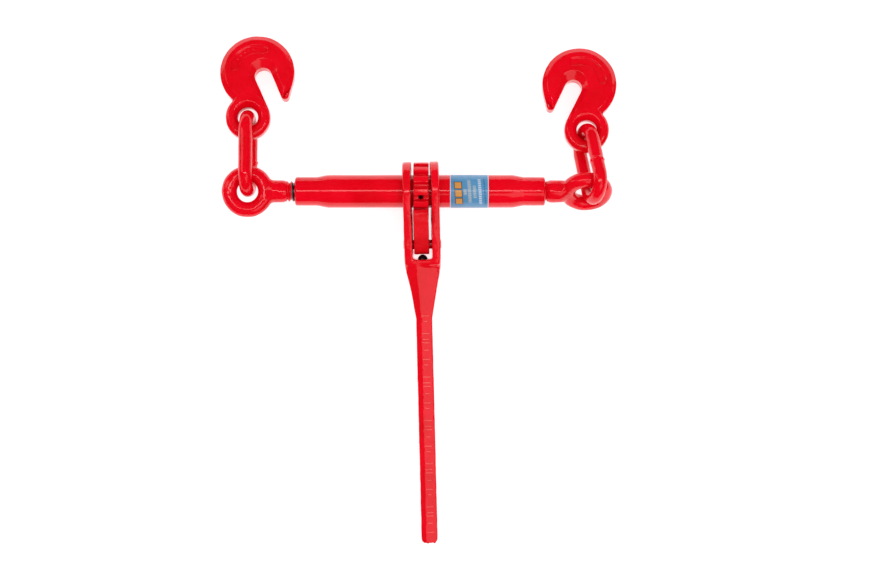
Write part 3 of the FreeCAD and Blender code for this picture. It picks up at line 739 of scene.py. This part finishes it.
def floor_material() -> bpy.types.Material:
    """Lit white acrylic for the floor: a light table."""
    material, graph = new_material("light_table")
    where = graph.add("TexCoord").outputs["Object"]
    grain = graph.noise(where, 300.0, 3.0, 0.6)
    colour = graph.blend(graph.ramp(grain, 0.3, 0.7), (0.49, 0.49, 0.49, 1.0), (0.51, 0.51, 0.51, 1.0))
    shader = graph.add("BsdfPrincipled", {
        "Base Color": colour, "Roughness": 0.9, "Specular IOR Level": 0.1,
        "Emission Color": (1.0, 1.0, 1.0, 1.0), "Emission Strength": 0.75,
    })
    graph.add("OutputMaterial", {"Surface": shader.outputs[0]})
    return material


@dataclass(frozen=True)
class Finishes:
    """Every finish of the binder."""

    groups: Groups = field(default_factory=Groups)

    def enamel(self, name: str, **values: object) -> bpy.types.Material:
        """Red enamel with its own values."""
        return Enamel(name, **values).material(self.groups)

    def steel(self, name: str, **values: object) -> bpy.types.Material:
        """Plain steel with its own values."""
        return Steel(name, **values).material(self.groups)


# ---------------------------------------------------------------- the barrel


@dataclass
class Barrel:
    """The barrel, its gear with two spring pins, and its label."""

    finishes: Finishes
    body: str = "barrel"
    mouth_r: float = 14.6 * MM
    mouth_length: float = 22.0 * MM
    swage_length: float = 12.0 * MM
    bore_r: float = 10.56 * MM
    bore_length: float = 26.0 * MM
    wall: float = 4.5 * MM
    lip: float = 1.3 * MM
    swage_round: float = 3.0 * MM
    swage_ease: tuple[float, float] = (0.5 * MM, 0.35 * MM)
    bore_lead: float = 3.0 * MM
    bore_step: float = 2.0 * MM
    bevel: tuple[float, float] = (1.0 * MM, 0.3 * MM)
    bevel_depth: float = 0.7 * MM
    steps: int = 128
    long_edge: float = 20.0 * MM
    rings: int = 40
    label_wrap: float = 330.0
    label_lift: float = 0.02 * MM

    def build(self) -> None:
        """Builds every piece of the barrel."""
        self.tube()
        self.gear()
        self.spring_pins()
        self.label()

    def tube(self) -> None:
        """The tube with its swaged mouths, open right through."""
        low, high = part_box("barrel_tube")
        centre = (low + high) / 2
        half = (high.x - low.x) / 2
        radius = (high.z - low.z) / 2
        inner = radius - self.wall
        mouth, swage = half - self.mouth_length, half - self.mouth_length - self.swage_length
        throat = half - self.bore_length
        foot, top = self.swage_ease
        start, end = self.bevel
        outside = [
            (half, self.mouth_r - self.lip), (half - self.lip, self.mouth_r), (mouth, self.mouth_r),
            (mouth - self.swage_round, self.mouth_r + foot), (swage + self.swage_round, radius - top),
            (swage, radius),
        ]
        inside = [
            (throat - self.bore_lead, inner), (throat, inner), (throat + self.bore_step, self.bore_r),
            (half - start, self.bore_r), (half - end, self.bore_r + self.bevel_depth),
        ]
        right = inside + outside
        left = [(-x, r) for x, r in reversed(right)]
        mesh = spun(right + left, centre, self.steps)
        round_edges(mesh, sharper_than=12.0, width=0.8 * MM, segments=4)
        long_edges = [e for e in mesh.edges if abs(e.verts[0].co.x - e.verts[1].co.x) > self.long_edge]
        bmesh.ops.subdivide_edges(mesh, edges=long_edges, cuts=self.rings)
        roughen(mesh, height=0.10 * MM, grain=26 * MM, seed=3.0)
        material = self.finishes.enamel("enamel_tube", peel=0.22, lumps=0.55, depth=0.16 * MM, rough=0.09)
        add_piece("barrel_tube_painted", mesh, self.body, material, ("barrel_tube",))

    def gear(self) -> None:
        """The gear's teeth, their edges softened by paint."""
        mesh = forged(cad_copy("ratchet_gear"), voxel=0.5 * MM, passes=3)
        roughen(mesh, height=0.10 * MM, grain=5 * MM, seed=8.0)
        # a larger share of the painted highlight on the teeth's edges
        material = self.finishes.enamel(
            "enamel_teeth", peel=0.25, dents=0.35, dent_scale=260.0, depth=0.14 * MM, rough=0.12,
            edge_share=0.5,
        )
        add_piece("ratchet_gear_painted", mesh, self.body, material, ("ratchet_gear",))

    def spring_pins(self) -> None:
        """The two rolled spring pins that hold the gear."""
        material = self.finishes.steel(
            "steel_spring_pin", light=(0.10, 0.03, 0.03, 1.0), dark=(0.03, 0.02, 0.02, 1.0), rough=0.35
        )
        for node in ("gear_pin_upper", "gear_pin_lower"):
            mesh = cad_copy(node)
            round_edges(mesh, sharper_than=50.0, width=0.4 * MM, segments=3)
            add_piece(node + "_rolled", mesh, self.body, material, (node,))

    def label(self) -> None:
        """The label: a thin film round the barrel with a gap underneath, and a map for its print."""
        low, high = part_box("label")
        half = (high.x - low.x) / 2
        tube_low, tube_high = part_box("barrel_tube")
        axis = (tube_low + tube_high) / 2
        axis.x = (low.x + high.x) / 2
        outer = high.z - axis.z
        inner = (tube_high.z - tube_low.z) / 2 + self.label_lift
        mesh = bmesh.new()
        verts = [
            mesh.verts.new(axis + Vector((x, 0.0, -r)))
            for x, r in ((-half, inner), (-half, outer), (half, outer), (half, inner))
        ]
        edges = [mesh.edges.new(pair) for pair in zip(verts, verts[1:] + verts[:1])]
        face = mesh.faces.new(verts)
        gap = math.radians(360.0 - self.label_wrap) / 2
        bmesh.ops.rotate(mesh, verts=verts, cent=axis, matrix=Matrix.Rotation(gap, 3, "X"))
        bmesh.ops.spin(
            mesh, geom=verts + edges + [face], cent=axis, axis=X_AXIS,
            angle=math.radians(self.label_wrap), steps=self.steps,
        )
        bmesh.ops.recalc_face_normals(mesh, faces=mesh.faces)
        layer = mesh.loops.layers.uv.new("print")
        for face in mesh.faces:
            for loop in face.loops:
                spot = loop.vert.co - axis
                angle = math.atan2(spot.y, spot.z)
                loop[layer].uv = ((spot.x + half) / (2 * half), 0.5 + angle / math.tau)
        film = LabelFilm("label_print", 2 * half, math.tau * outer).material(self.finishes.groups)
        add_piece("label_printed", mesh, self.body, film, ("label",))


# ---------------------------------------------------------------- the lever


@dataclass
class Lever:
    """The forked lever with its pawl, pin, plunger and spring."""

    finishes: Finishes
    body: str = "handle"
    fork_end: float = 21.0 * MM
    fork_blend: float = 7.0 * MM
    run_reach: float = 1.2 * MM
    run_drop: float = 1.5 * MM
    run_grain: float = 2.2 * MM
    horn_from: float = 19.0 * MM
    mark_gaps: tuple[float, ...] = (5.5 * MM, 12.5 * MM, 6.0 * MM, 3.5 * MM, 7.5 * MM, 9.5 * MM)
    mark_lengths: tuple[float, ...] = (7.6 * MM, 4.2 * MM, 7.8 * MM, 7.0 * MM, 7.6 * MM, 5.2 * MM)
    mark_width: float = 1.1 * MM
    mark_thick: float = 1.2 * MM
    mark_sunk: float = 0.2 * MM
    mark_round: float = 0.35 * MM
    mark_aside: float = 2.2 * MM
    grip_start: float = 127.0 * MM
    grip_margin: float = 9.0 * MM
    cast_from: float = 60.0 * MM

    def build(self) -> None:
        """Builds every piece of the lever."""
        self.forging()
        self.pawl()
        self.pin()
        self.plunger()
        self.spring()

    def forging(self) -> None:
        """The forged fork and grip, with low bars on the grip, coloured as a painted highlight, and a run
        of paint at its end.
        """
        mesh = forged(cad_copy("handle"), voxel=0.8 * MM, passes=3)
        fork_end = joint_spot("pawl_flip").y - self.fork_end
        smooth(mesh, [v for v in mesh.verts if abs(v.co.y - fork_end) < self.fork_blend], passes=40)
        roughen(mesh, height=0.22 * MM, grain=9 * MM, seed=1.0)
        roughen(mesh, height=0.07 * MM, grain=2.6 * MM, seed=5.0)
        self.paint_run(mesh)
        tree = BVHTree.FromBMesh(mesh)
        material = self.finishes.enamel(
            "enamel_lever", peel=0.2, dents=0.30, dent_scale=210.0, lumps=0.5, depth=0.20 * MM, rough=0.12
        )
        add_piece("handle_forging", mesh, self.body, material, ("handle",))
        # Painted highlight: the bars are coloured a lighter pink to stand for the glints on their ridges.
        wear_and_sheen = self.finishes.enamel(
            "enamel_marks_painted_highlight", bright=(0.95, 0.13, 0.12, 1.0), deep=(0.90, 0.05, 0.05, 1.0), depth=0.05 * MM
        )
        add_piece("handle_marks", self.marks(tree), self.body, wear_and_sheen)

    def paint_run(self, mesh: BMesh) -> None:
        """Lets a little paint gather and hang at the far end of the grip.

        Args:
            mesh: the handle's skin.
        """
        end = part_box("handle")[0].y
        for vert in mesh.verts:
            if vert.co.y - end < self.run_reach:
                ragged = max(0.0, noise.noise(vert.co / self.run_grain + Vector((4.0, 0.0, 1.0))))
                vert.co.y -= self.run_drop * ragged

    def marks(self, tree: BVHTree) -> BMesh:
        """Low bars across the grip's wide face, unevenly spaced down to its end.

        Args:
            tree: the grip's skin, to set the bars on.
        Returns:
            All the bars as one mesh.
        """
        along = joint_axis("detent_slide")
        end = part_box("handle")[0].y + self.grip_margin
        spot = joint_spot("handle_swing") + along * self.grip_start
        bars: list[BMesh] = []
        while spot.y > end:
            number = len(bars)
            bars.append(self.mark(tree, spot, self.mark_lengths[number % len(self.mark_lengths)]))
            spot = spot + along * self.mark_gaps[number % len(self.mark_gaps)]
        return joined(bars)

    def mark(self, tree: BVHTree, spot: Vector, length: float) -> BMesh:
        """One raised bar, square across the grip's wide face.

        Args:
            tree: the grip's skin, to lay the bar on.
            spot: the point of the grip's middle line that it stands beside.
            length: how far it runs across the face.
        Returns:
            The bar.
        """
        above = spot + X_AXIS * self.mark_aside + Z_AXIS * self.cast_from
        first = tree.ray_cast(above - X_AXIS * (length / 2), -Z_AXIS)[0]
        last = tree.ray_cast(above + X_AXIS * (length / 2), -Z_AXIS)[0]
        across = (last - first).normalized()
        normal = joint_axis("detent_slide").cross(across).normalized()
        bar = bmesh.new()
        bmesh.ops.create_cube(bar, size=1.0)
        bmesh.ops.scale(bar, vec=(length, self.mark_width, self.mark_thick), verts=bar.verts)
        bmesh.ops.bevel(
            bar, geom=bar.edges, offset=self.mark_round, affect="EDGES", segments=3, profile=0.5,
            material=-1,
        )
        turn = Matrix((across, normal.cross(across), normal)).transposed()
        bmesh.ops.rotate(bar, verts=bar.verts, cent=(0, 0, 0), matrix=turn)
        bmesh.ops.translate(bar, verts=bar.verts, vec=(first + last) / 2 - normal * self.mark_sunk)
        return bar

    def pawl(self) -> None:
        """The pawl: hammered behind its ridges and smooth in front of them."""
        mesh = forged(cad_copy("pawl"), voxel=0.5 * MM, passes=3)
        pin = joint_spot("pawl_flip")
        roughen(mesh, height=0.12 * MM, grain=4.5 * MM, seed=2.0)

        def behind(spot: Vector) -> float:
            """1 on the body of the pawl, and 0 on its horns."""
            return 1.0 if spot.y < pin.y + self.horn_from else 0.0

        roughen(mesh, height=0.16 * MM, grain=2.0 * MM, seed=6.0, share=behind)
        material = self.finishes.enamel(
            "enamel_pawl", peel=0.2, dents=0.8, dent_scale=230.0, lumps=0.4, depth=0.30 * MM, rough=0.15,
            bright=(0.88, 0.010, 0.02, 1.0),
        )
        add_piece("pawl_forging", mesh, "pawl", material, ("pawl",))

    def pin(self) -> None:
        """The pawl's pin, its ends hammered over."""
        mesh = forged(cad_copy("pawl_pin"), voxel=0.35 * MM, passes=3)
        roughen(mesh, height=0.10 * MM, grain=1.8 * MM, seed=12.0)
        material = self.finishes.enamel("enamel_pin", dents=0.5, dent_scale=420.0, depth=0.15 * MM)
        add_piece("pawl_pin_riveted", mesh, self.body, material, ("pawl_pin",))

    def plunger(self) -> None:
        """The blackened plunger that holds the pawl."""
        mesh = forged(cad_copy("detent_plunger"), voxel=0.3 * MM, passes=2)
        material = self.finishes.steel(
            "steel_blackened", light=(0.06, 0.058, 0.056, 1.0), dark=(0.02, 0.02, 0.02, 1.0), rough=0.32
        )
        add_piece("detent_plunger_turned", mesh, "detent_plunger", material, ("detent_plunger",))

    def spring(self) -> None:
        """The spring's wire."""
        node = frame["nodes"]["detent_spring"]
        material = self.finishes.steel("steel_spring_wire", rough=0.25)
        node.data.materials.clear()
        node.data.materials.append(material)


# ---------------------------------------------------------------- the two ends


@dataclass(frozen=True)
class HookFace:
    """The shape of a grab hook's face in its own plane, in millimetres from the middle of its eye.

    The faces swell towards the bowl, fall away in bevels at the rim and along the throat, and carry
    a curved recess.
    """

    bowl: tuple[float, float] = (9.0, 47.0)
    bowl_r: float = 37.9
    throat: tuple[float, float] = (15.2, 42.7)
    throat_r: float = 8.75
    eye_r: float = 22.8
    tip: tuple[float, float] = (37.6, 22.6)
    tip_r: float = 4.1
    swell: tuple[tuple[float, float], ...] = ((-23.8, 6.9), (47.0, 10.5), (85.9, 9.9))
    rim: tuple[float, float] = (5.2, 4.6)
    rim_from: float = 6.0
    margin: float = 0.5
    throat_bevel: tuple[float, float] = (5.4, 4.4)
    arch: float = 3.6
    recess_r: float = 23.4
    recess_half: float = 4.7
    recess_ends: tuple[float, float] = (74.0, 168.0)
    recess_depth: float = 1.15
    recess_wall: float = 1.5
    old_recess: float = 1.4

    def height(self, ahead: float) -> float:
        """The face's height over the hook's middle plane, before its bevels.

        Args:
            ahead: how far the spot is from the eye towards the bowl.
        Returns:
            The height, on a curve through the three of the swell.
        """
        (a, ha), (b, hb), (c, hc) = self.swell
        first = ha * (ahead - b) * (ahead - c) / ((a - b) * (a - c))
        second = hb * (ahead - a) * (ahead - c) / ((b - a) * (b - c))
        third = hc * (ahead - a) * (ahead - b) / ((c - a) * (c - b))
        return first + second + third

    def side(self, spot: Vector, circle: tuple[float, float], radius: float, turn: float) -> float:
        """How far a spot is from the line that touches the throat and another circle between them.

        Args:
            spot: the spot in the hook's plane.
            circle: the other circle's middle.
            radius: its radius.
            turn: 1 or -1, for the side that the line passes on.
        Returns:
            The distance, which is positive on the body's side.
        """
        start = Vector(self.throat)
        span = Vector(circle) - start
        lean = math.acos((self.throat_r + radius) / span.length) * turn
        angle = math.atan2(span.y, span.x) + lean
        normal = Vector((math.cos(angle), math.sin(angle)))
        return (spot - start).dot(normal) - self.throat_r

    def throat_gap(self, spot: Vector) -> tuple[float, float]:
        """How far a spot is from the throat's edge, and how far round its arch the spot stands.

        Args:
            spot: the spot in the hook's plane.
        Returns:
            The distance, and the arch's share from 0 to 1.
        """
        away = spot - Vector(self.throat)
        arch = max(0.0, away.y / max(away.length, 0.001))
        if away.y > 0:
            return away.length - self.throat_r, arch
        if away.x < 0.0 or away.length < self.throat_r:
            return self.side(spot, (0.0, 0.0), self.eye_r, -1.0), arch
        return self.side(spot, self.tip, self.tip_r, 1.0), arch

    def recess(self, spot: Vector) -> float:
        """How deep the recess is at a spot.

        Args:
            spot: the spot in the hook's plane.
        Returns:
            The depth.
        """
        away = spot - Vector(self.bowl)
        angle = math.degrees(math.atan2(away.y, away.x)) % 360
        low, high = self.recess_ends
        if low <= angle <= high:
            gap = abs(away.length - self.recess_r)
        else:
            ends = [math.radians(end) for end in (low, high)]
            gap = min((away - self.recess_r * Vector((math.cos(e), math.sin(e)))).length for e in ends)
        share = min(1.0, max(0.0, (self.recess_half - gap) / self.recess_wall))
        return self.recess_depth * share * share * (3 - 2 * share)

    def limit(self, spot: Vector) -> float:
        """The face's height at a spot, with its bevels and its recess.

        Args:
            spot: the spot in the hook's plane.
        Returns:
            The height over the hook's middle plane.
        """
        drop = self.recess(spot)
        if spot.y > self.eye_r - self.rim_from:
            inside = self.bowl_r - (spot - Vector(self.bowl)).length
            width, depth = self.rim
            if inside > -self.margin:
                drop = max(drop, depth * (1 - inside / width))
            gap, arch = self.throat_gap(spot)
            width, depth = self.throat_bevel
            if gap > -self.margin:
                drop = max(drop, depth * (1 - gap / (width + self.arch * arch)))
        return self.height(spot.y) - drop


@dataclass
class End:
    """One end of the binder: its eye bolt with a real thread, its link and its hook."""

    finishes: Finishes
    side: Side
    screw_r: float = 10.5 * MM
    root_r: float = 8.75 * MM
    pitch: float = 25.4 / 6 * MM
    crest_round: float = 0.12 * MM
    thread_length: float = 107.0 * MM
    spigot_r: float = 7.5 * MM
    spigot_length: float = 15.0 * MM
    steps: int = 48
    spigot_chamfer: float = 0.8 * MM
    shoulder_r: float = 8.5 * MM
    shoulder_length: float = 2.0 * MM
    overlap: float = 2.0 * MM
    neck_cut: float = 1.0 * MM
    bare_from: float = 5.2 * MM
    bare_fade: float = 1.0 * MM
    weld_at: float = 30.0 * MM
    weld_reach: float = 7.0 * MM
    weld_width: float = 1.5 * MM
    weld_height: float = 1.0 * MM
    weld_grain: float = 2.4 * MM
    weld_ragged: tuple[float, float] = (0.55, 0.9)
    eye_reach: float = 24.0 * MM
    face: HookFace = HookFace()
    pip_r: float = 1.7 * MM
    pip_flat: float = 0.40
    pip_angles: tuple[float, ...] = (98.0, 110.0, 122.0, 134.0, 146.0)
    cast_from: float = 50.0 * MM

    def node(self, name: str) -> str:
        """A node's or body's full name on this side."""
        return f"{self.side.value}_{name}"

    def pick(self, left: float, right: float) -> float:
        """The value that belongs to this side."""
        return left if self.side is Side.LEFT else right

    def build(self) -> None:
        """Builds every piece of this end."""
        self.eye_bolt()
        self.inner_parts()
        self.link()
        self.hook()

    def screw_ends(self) -> tuple[float, float]:
        """Where the thread starts at the neck and where the spigot ends, along X.

        Returns:
            The two places.
        """
        low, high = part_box(self.node("eye_bolt"))
        inner = high.x if self.side is Side.LEFT else low.x
        neck = inner + self.side.out * (self.thread_length + self.spigot_length)
        return neck, inner

    def eye_bolt(self) -> None:
        """The forged ring and neck, with the screw's thread grown from it."""
        neck = self.screw_ends()[0]
        eye = cad_copy(self.node("eye_bolt"))
        cut = Vector((neck - self.side.out * self.neck_cut, 0, 0))
        bmesh.ops.bisect_plane(
            eye, geom=eye.verts[:] + eye.edges[:] + eye.faces[:], plane_co=cut,
            plane_no=X_AXIS * -self.side.out, clear_outer=True,
        )
        bmesh.ops.holes_fill(eye, edges=[e for e in eye.edges if e.is_boundary], sides=0)
        eye = forged(eye, voxel=0.55 * MM, passes=6)
        seed = self.pick(21.0, 33.0)
        roughen(eye, height=0.30 * MM, grain=9 * MM, seed=seed)
        roughen(eye, height=0.06 * MM, grain=2.4 * MM, seed=seed + 3)
        whole = joined([eye, self.thread(), self.spigot()])
        bare = neck - self.side.out * self.bare_from
        material = self.finishes.enamel(
            self.node("enamel_eye_bolt"), peel=0.2, dents=0.2, lumps=0.6, depth=0.2 * MM, rough=0.10,
            steel_from=(bare, bare - self.side.out * self.bare_fade),
        )
        add_piece(
            self.node("eye_bolt_threaded"), whole, self.node("eye_bolt"), material,
            (self.node("eye_bolt"),),
        )

    def thread(self) -> BMesh:
        """The screw's thread: one turn's profile, spun along the screw and trimmed square at both ends.

        Returns:
            The closed screw, right-handed on the left end and left-handed on the right one.
        """
        neck = self.screw_ends()[0]
        ring = joint_spot(self.node("screw_turn"))
        inward = -self.side.out
        axis = Vector((neck, ring.y, ring.z))
        pitch = self.pitch
        flank_r = self.screw_r - self.crest_round
        outline = (
            (0.0, self.root_r), (0.10, self.root_r), (0.40, flank_r), (0.45, self.screw_r),
            (0.55, self.screw_r), (0.60, flank_r), (0.90, self.root_r), (1.0, self.root_r),
        )
        turns = int(self.thread_length / pitch) + 3
        mesh = bmesh.new()
        start = axis + X_AXIS * (-2.0 * pitch * inward)
        verts = [mesh.verts.new(start + Vector((inward * share * pitch, 0.0, r))) for share, r in outline]
        edges = [mesh.edges.new(pair) for pair in zip(verts, verts[1:])]
        # both screws have their hand from the same turn, because they run in opposite directions
        bmesh.ops.spin(
            mesh, geom=verts + edges, cent=start, axis=X_AXIS, dvec=X_AXIS * (inward * pitch / self.steps),
            angle=math.tau * turns, steps=self.steps * turns,
        )
        bmesh.ops.remove_doubles(mesh, verts=mesh.verts, dist=0.01 * MM)
        shoulder = neck + inward * self.thread_length
        root = neck - inward * (self.neck_cut + self.overlap)
        for place, facing in ((root, -inward), (shoulder, inward)):
            bmesh.ops.bisect_plane(
                mesh, geom=mesh.verts[:] + mesh.edges[:] + mesh.faces[:], plane_co=(place, 0, 0),
                plane_no=X_AXIS * facing, clear_outer=True,
            )
        bmesh.ops.holes_fill(mesh, edges=[e for e in mesh.edges if e.is_boundary], sides=0)
        bmesh.ops.recalc_face_normals(mesh, faces=mesh.faces)
        for vert in mesh.verts:
            depth = abs(vert.co.x - shoulder)
            if depth < self.shoulder_length:
                spoke = Vector((0, vert.co.y - axis.y, vert.co.z - axis.z))
                limit = self.shoulder_r + depth
                if spoke.length > limit:
                    vert.co -= spoke.normalized() * (spoke.length - limit)
        return mesh

    def spigot(self) -> BMesh:
        """The plain spigot past the thread, which the stop washer sits on."""
        inner = self.screw_ends()[1]
        ring = joint_spot(self.node("screw_turn"))
        base = inner + self.side.out * (self.spigot_length + self.overlap)
        profile = [
            (base, 0.0), (base, self.spigot_r),
            (inner + self.side.out * self.spigot_chamfer, self.spigot_r),
            (inner, self.spigot_r - self.spigot_chamfer), (inner, 0.0),
        ]
        return spun(profile, Vector((0.0, ring.y, ring.z)), self.steps, closed=False)

    def inner_parts(self) -> None:
        """The stop washer and its cross pin, inside the barrel."""
        material = self.finishes.steel(self.node("steel_stop"), rough=0.4)
        for name, body in (("stop_washer", "stop_washer"), ("stop_pin", "eye_bolt")):
            node = self.node(name)
            mesh = cad_copy(node)
            round_edges(mesh, sharper_than=50.0, width=0.35 * MM, segments=2)
            add_piece(node + "_turned", mesh, self.node(body), material, (node,))

    def link(self) -> None:
        """The welded link, with the flash that its weld left on one leg."""
        node = self.node("link")
        mesh = forged(cad_copy(node), voxel=0.55 * MM, passes=3)
        seed = self.pick(41.0, 57.0)
        roughen(mesh, height=0.25 * MM, grain=11 * MM, seed=seed)
        roughen(mesh, height=0.05 * MM, grain=2.2 * MM, seed=seed + 2)
        self.weld_flash(mesh, seed)
        material = self.finishes.enamel(
            self.node("enamel_link"), peel=0.2, dents=0.1, lumps=0.6, depth=0.2 * MM, rough=0.09
        )
        add_piece(self.node("link_welded"), mesh, node, material, (node,))

    def weld_flash(self, mesh: BMesh, seed: float) -> None:
        """Raises a ragged collar round one leg, where the link's ends were welded.

        Args:
            mesh: the link's skin.
            seed: a shift for the collar's own raggedness.
        """
        weld = joint_spot(self.node("screw_turn")).y + self.weld_at
        near = [v for v in mesh.verts if abs(v.co.y - weld) < self.weld_reach]
        middle = sum(v.co.z for v in near) / len(near)
        leg = [v for v in near if (v.co.z - middle) * self.side.out > 0]
        slope = self.leg_slope(leg)
        heart = sum((v.co for v in leg), Vector()) / len(leg)
        base, spread = self.weld_ragged
        for vert in leg:
            away = (vert.co - heart) - slope * (vert.co - heart).dot(slope)
            step = (vert.co - heart).dot(slope) / self.weld_width
            ragged = base + spread * noise.noise(vert.co / self.weld_grain + Vector((seed, 0, 0)))
            vert.co += away.normalized() * (self.weld_height * math.exp(-step * step) * max(0.0, ragged))

    def leg_slope(self, leg: Sequence[BMVert]) -> Vector:
        """The direction of a leg, from the middles of its two halves.

        Args:
            leg: the leg's vertices.
        Returns:
            The direction.
        """
        middle = sum(v.co.y for v in leg) / len(leg)
        halves = ([v.co for v in leg if v.co.y < middle], [v.co for v in leg if v.co.y >= middle])
        first, second = (sum(spots, Vector()) / len(spots) for spots in halves)
        return (second - first).normalized()

    def hook_axes(self) -> tuple[Vector, Vector, Vector]:
        """The hook's own directions: across to its tip, ahead to its bowl, and up from its face.

        Returns:
            The three directions.
        """
        up = joint_axis(self.node("hook_swing"))
        up = -up if up.z < 0 else up
        turn = Matrix.Rotation(math.radians(self.heading()), 3, "Z")
        ahead = up.cross(turn @ X_AXIS).normalized()
        return ahead.cross(up) * -self.side.out, ahead, up

    def heading(self) -> float:
        """How far the hook's plan is turned about the upright, in degrees."""
        return self.pick(0.0, -2.4)

    def hook(self) -> None:
        """The forged grab hook, with bevelled faces, a rounded eye, and, on the left end only, plain pips
        in its recess.
        """
        node = self.node("hook")
        mesh = forged(cad_copy(node), voxel=0.5 * MM, passes=1)
        eye = joint_spot(self.node("hook_swing"))
        self.dress_faces(mesh, eye)
        smooth(mesh, mesh.verts, passes=2)
        smooth(mesh, [v for v in mesh.verts if (v.co - eye).length < self.eye_reach], passes=12)
        seed = self.pick(71.0, 83.0)
        roughen(mesh, height=0.22 * MM, grain=10 * MM, seed=seed)
        roughen(mesh, height=0.06 * MM, grain=2.4 * MM, seed=seed + 4)
        tree = BVHTree.FromBMesh(mesh)
        material = self.finishes.enamel(
            self.node("enamel_hook"), peel=0.2, dents=0.25, dent_scale=240.0, lumps=0.5, depth=0.2 * MM,
            rough=0.10,
        )
        add_piece(self.node("hook_forging"), mesh, node, material, (node,))
        if self.side is Side.LEFT:
            pips = joined(self.pip(tree, eye, angle) for angle in self.pip_angles)
            add_piece(self.node("hook_pips"), pips, node, material)

    def dress_faces(self, mesh: BMesh, eye: Vector) -> None:
        """Brings both faces of a hook's skin to their dressed height.

        Args:
            mesh: the hook's skin.
            eye: the middle of its eye.
        """
        across, ahead, up = self.hook_axes()
        for vert in mesh.verts:
            place = (vert.co - eye) / MM
            spot = Vector((place.dot(across), place.dot(ahead)))
            height = place.dot(up)
            if spot.length < self.face.eye_r:
                continue
            limit = self.face.limit(spot)
            on_face = abs(height) > self.face.height(spot.y) - self.face.old_recess
            if abs(height) > limit or on_face:
                vert.co += up * (math.copysign(limit, height) - height) * MM

    def pip(self, tree: BVHTree, eye: Vector, angle: float) -> BMesh:
        """One small round pip on the floor of the hook's recess.

        Args:
            tree: the hook's skin, to set the pip on.
            eye: the middle of the hook's eye.
            angle: where it stands round the bowl, in degrees.
        Returns:
            The pip.
        """
        across, ahead, up = self.hook_axes()
        turn = math.radians(angle)
        reach = self.face.recess_r
        spot = eye + across * ((self.face.bowl[0] + reach * math.cos(turn)) * MM)
        spot += ahead * ((self.face.bowl[1] + reach * math.sin(turn)) * MM)
        hit, normal = tree.ray_cast(spot + up * self.cast_from, -up)[:2]
        pip = bmesh.new()
        bmesh.ops.create_uvsphere(pip, u_segments=20, v_segments=10, radius=self.pip_r)
        bmesh.ops.scale(pip, vec=(1.0, 1.0, self.pip_flat), verts=pip.verts)
        turn_to = normal.to_track_quat("Z", "Y").to_matrix()
        bmesh.ops.rotate(pip, verts=pip.verts, cent=(0, 0, 0), matrix=turn_to)
        bmesh.ops.translate(pip, verts=pip.verts, vec=hit)
        return pip


# ---------------------------------------------------------------- the studio


@dataclass(frozen=True)
class Lamp:
    """A rectangular light and the point that it faces."""

    name: str
    place: tuple[float, float, float]
    aim: tuple[float, float, float]
    size: tuple[float, float]
    radiance: float

    def build(self) -> None:
        """Adds the light to the scene."""
        data = bpy.data.lights.new(self.name, "AREA")
        data.shape = "RECTANGLE"
        data.size, data.size_y = self.size
        data.energy = self.radiance * math.pi * self.size[0] * self.size[1]
        lamp = bpy.data.objects.new(self.name, data)
        lamp.location = self.place
        lamp.rotation_euler = (Vector(self.aim) - Vector(self.place)).to_track_quat("-Z", "Y").to_euler()
        bpy.context.scene.collection.objects.link(lamp)


@dataclass(frozen=True)
class Studio:
    """A white floor, soft lights and a camera that looks straight down."""

    lamps: tuple[Lamp, ...] = (
        Lamp("strip", (0.1, 0.16, 2.05), (0.1, 0.0, 0.0), (2.2, 0.20), 5.0),
        Lamp("softbox", (0.66, -0.62, 1.45), (0.25, -0.05, 0.0), (1.1, 1.0), 1.0),
        Lamp("panel", (-1.3, 0.5, 0.9), (0.0, 0.0, 0.0), (0.35, 0.9), 1.2),
    )
    floor_size: float = 12.0
    floor_gap: float = 0.3 * MM
    camera_height: float = 2.2
    view_width: float = 0.8857
    view_centre: tuple[float, float] = (0.0170, -0.0005)
    sensor: float = 36.0
    fill: float = 0.80

    def build(self) -> None:
        """Builds the studio."""
        self.floor()
        self.world()
        for lamp in self.lamps:
            lamp.build()
        self.camera()

    def floor(self) -> None:
        """The floor, just under the binder."""
        mesh = bmesh.new()
        bmesh.ops.create_grid(mesh, x_segments=8, y_segments=8, size=self.floor_size / 2)
        bmesh.ops.translate(mesh, verts=mesh.verts, vec=(0, 0, -self.floor_gap))
        data = bpy.data.meshes.new("floor")
        mesh.to_mesh(data)
        mesh.free()
        data.materials.append(floor_material())
        floor = bpy.data.objects.new("floor", data)
        bpy.context.scene.collection.objects.link(floor)
        floor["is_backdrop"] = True

    def world(self) -> None:
        """An even white fill that does not show in reflections."""
        world = bpy.data.worlds.new("fill")
        world.use_nodes = True
        background = world.node_tree.nodes["Background"]
        background.inputs["Color"].default_value = (1.0, 1.0, 1.0, 1.0)
        background.inputs["Strength"].default_value = self.fill
        bpy.context.scene.world = world
        world.cycles_visibility.glossy = False

    def camera(self) -> None:
        """The camera, straight above and a long way off."""
        data = bpy.data.cameras.new("camera")
        data.sensor_width = self.sensor
        plane = joint_spot("handle_swing").z
        data.lens = self.sensor * (self.camera_height - plane) / self.view_width
        camera = bpy.data.objects.new("camera", data)
        camera.location = (*self.view_centre, self.camera_height)
        bpy.context.scene.collection.objects.link(camera)
        bpy.context.scene.camera = camera
        bpy.context.scene.view_settings.view_transform = "Standard"


def main(cad_bounds: Iterable[Iterable[float]]) -> None:
    """Builds the binder and its studio.

    Args:
        cad_bounds: the frame's own box, from straight after it was loaded; not used.
    """
    logging.basicConfig(level=logging.INFO, format="%(name)s: %(message)s")
    finishes = Finishes()
    Barrel(finishes).build()
    Lever(finishes).build()
    for side in Side:
        End(finishes, side).build()
    Studio().build()


if __name__ == "__main__":
    main(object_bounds())
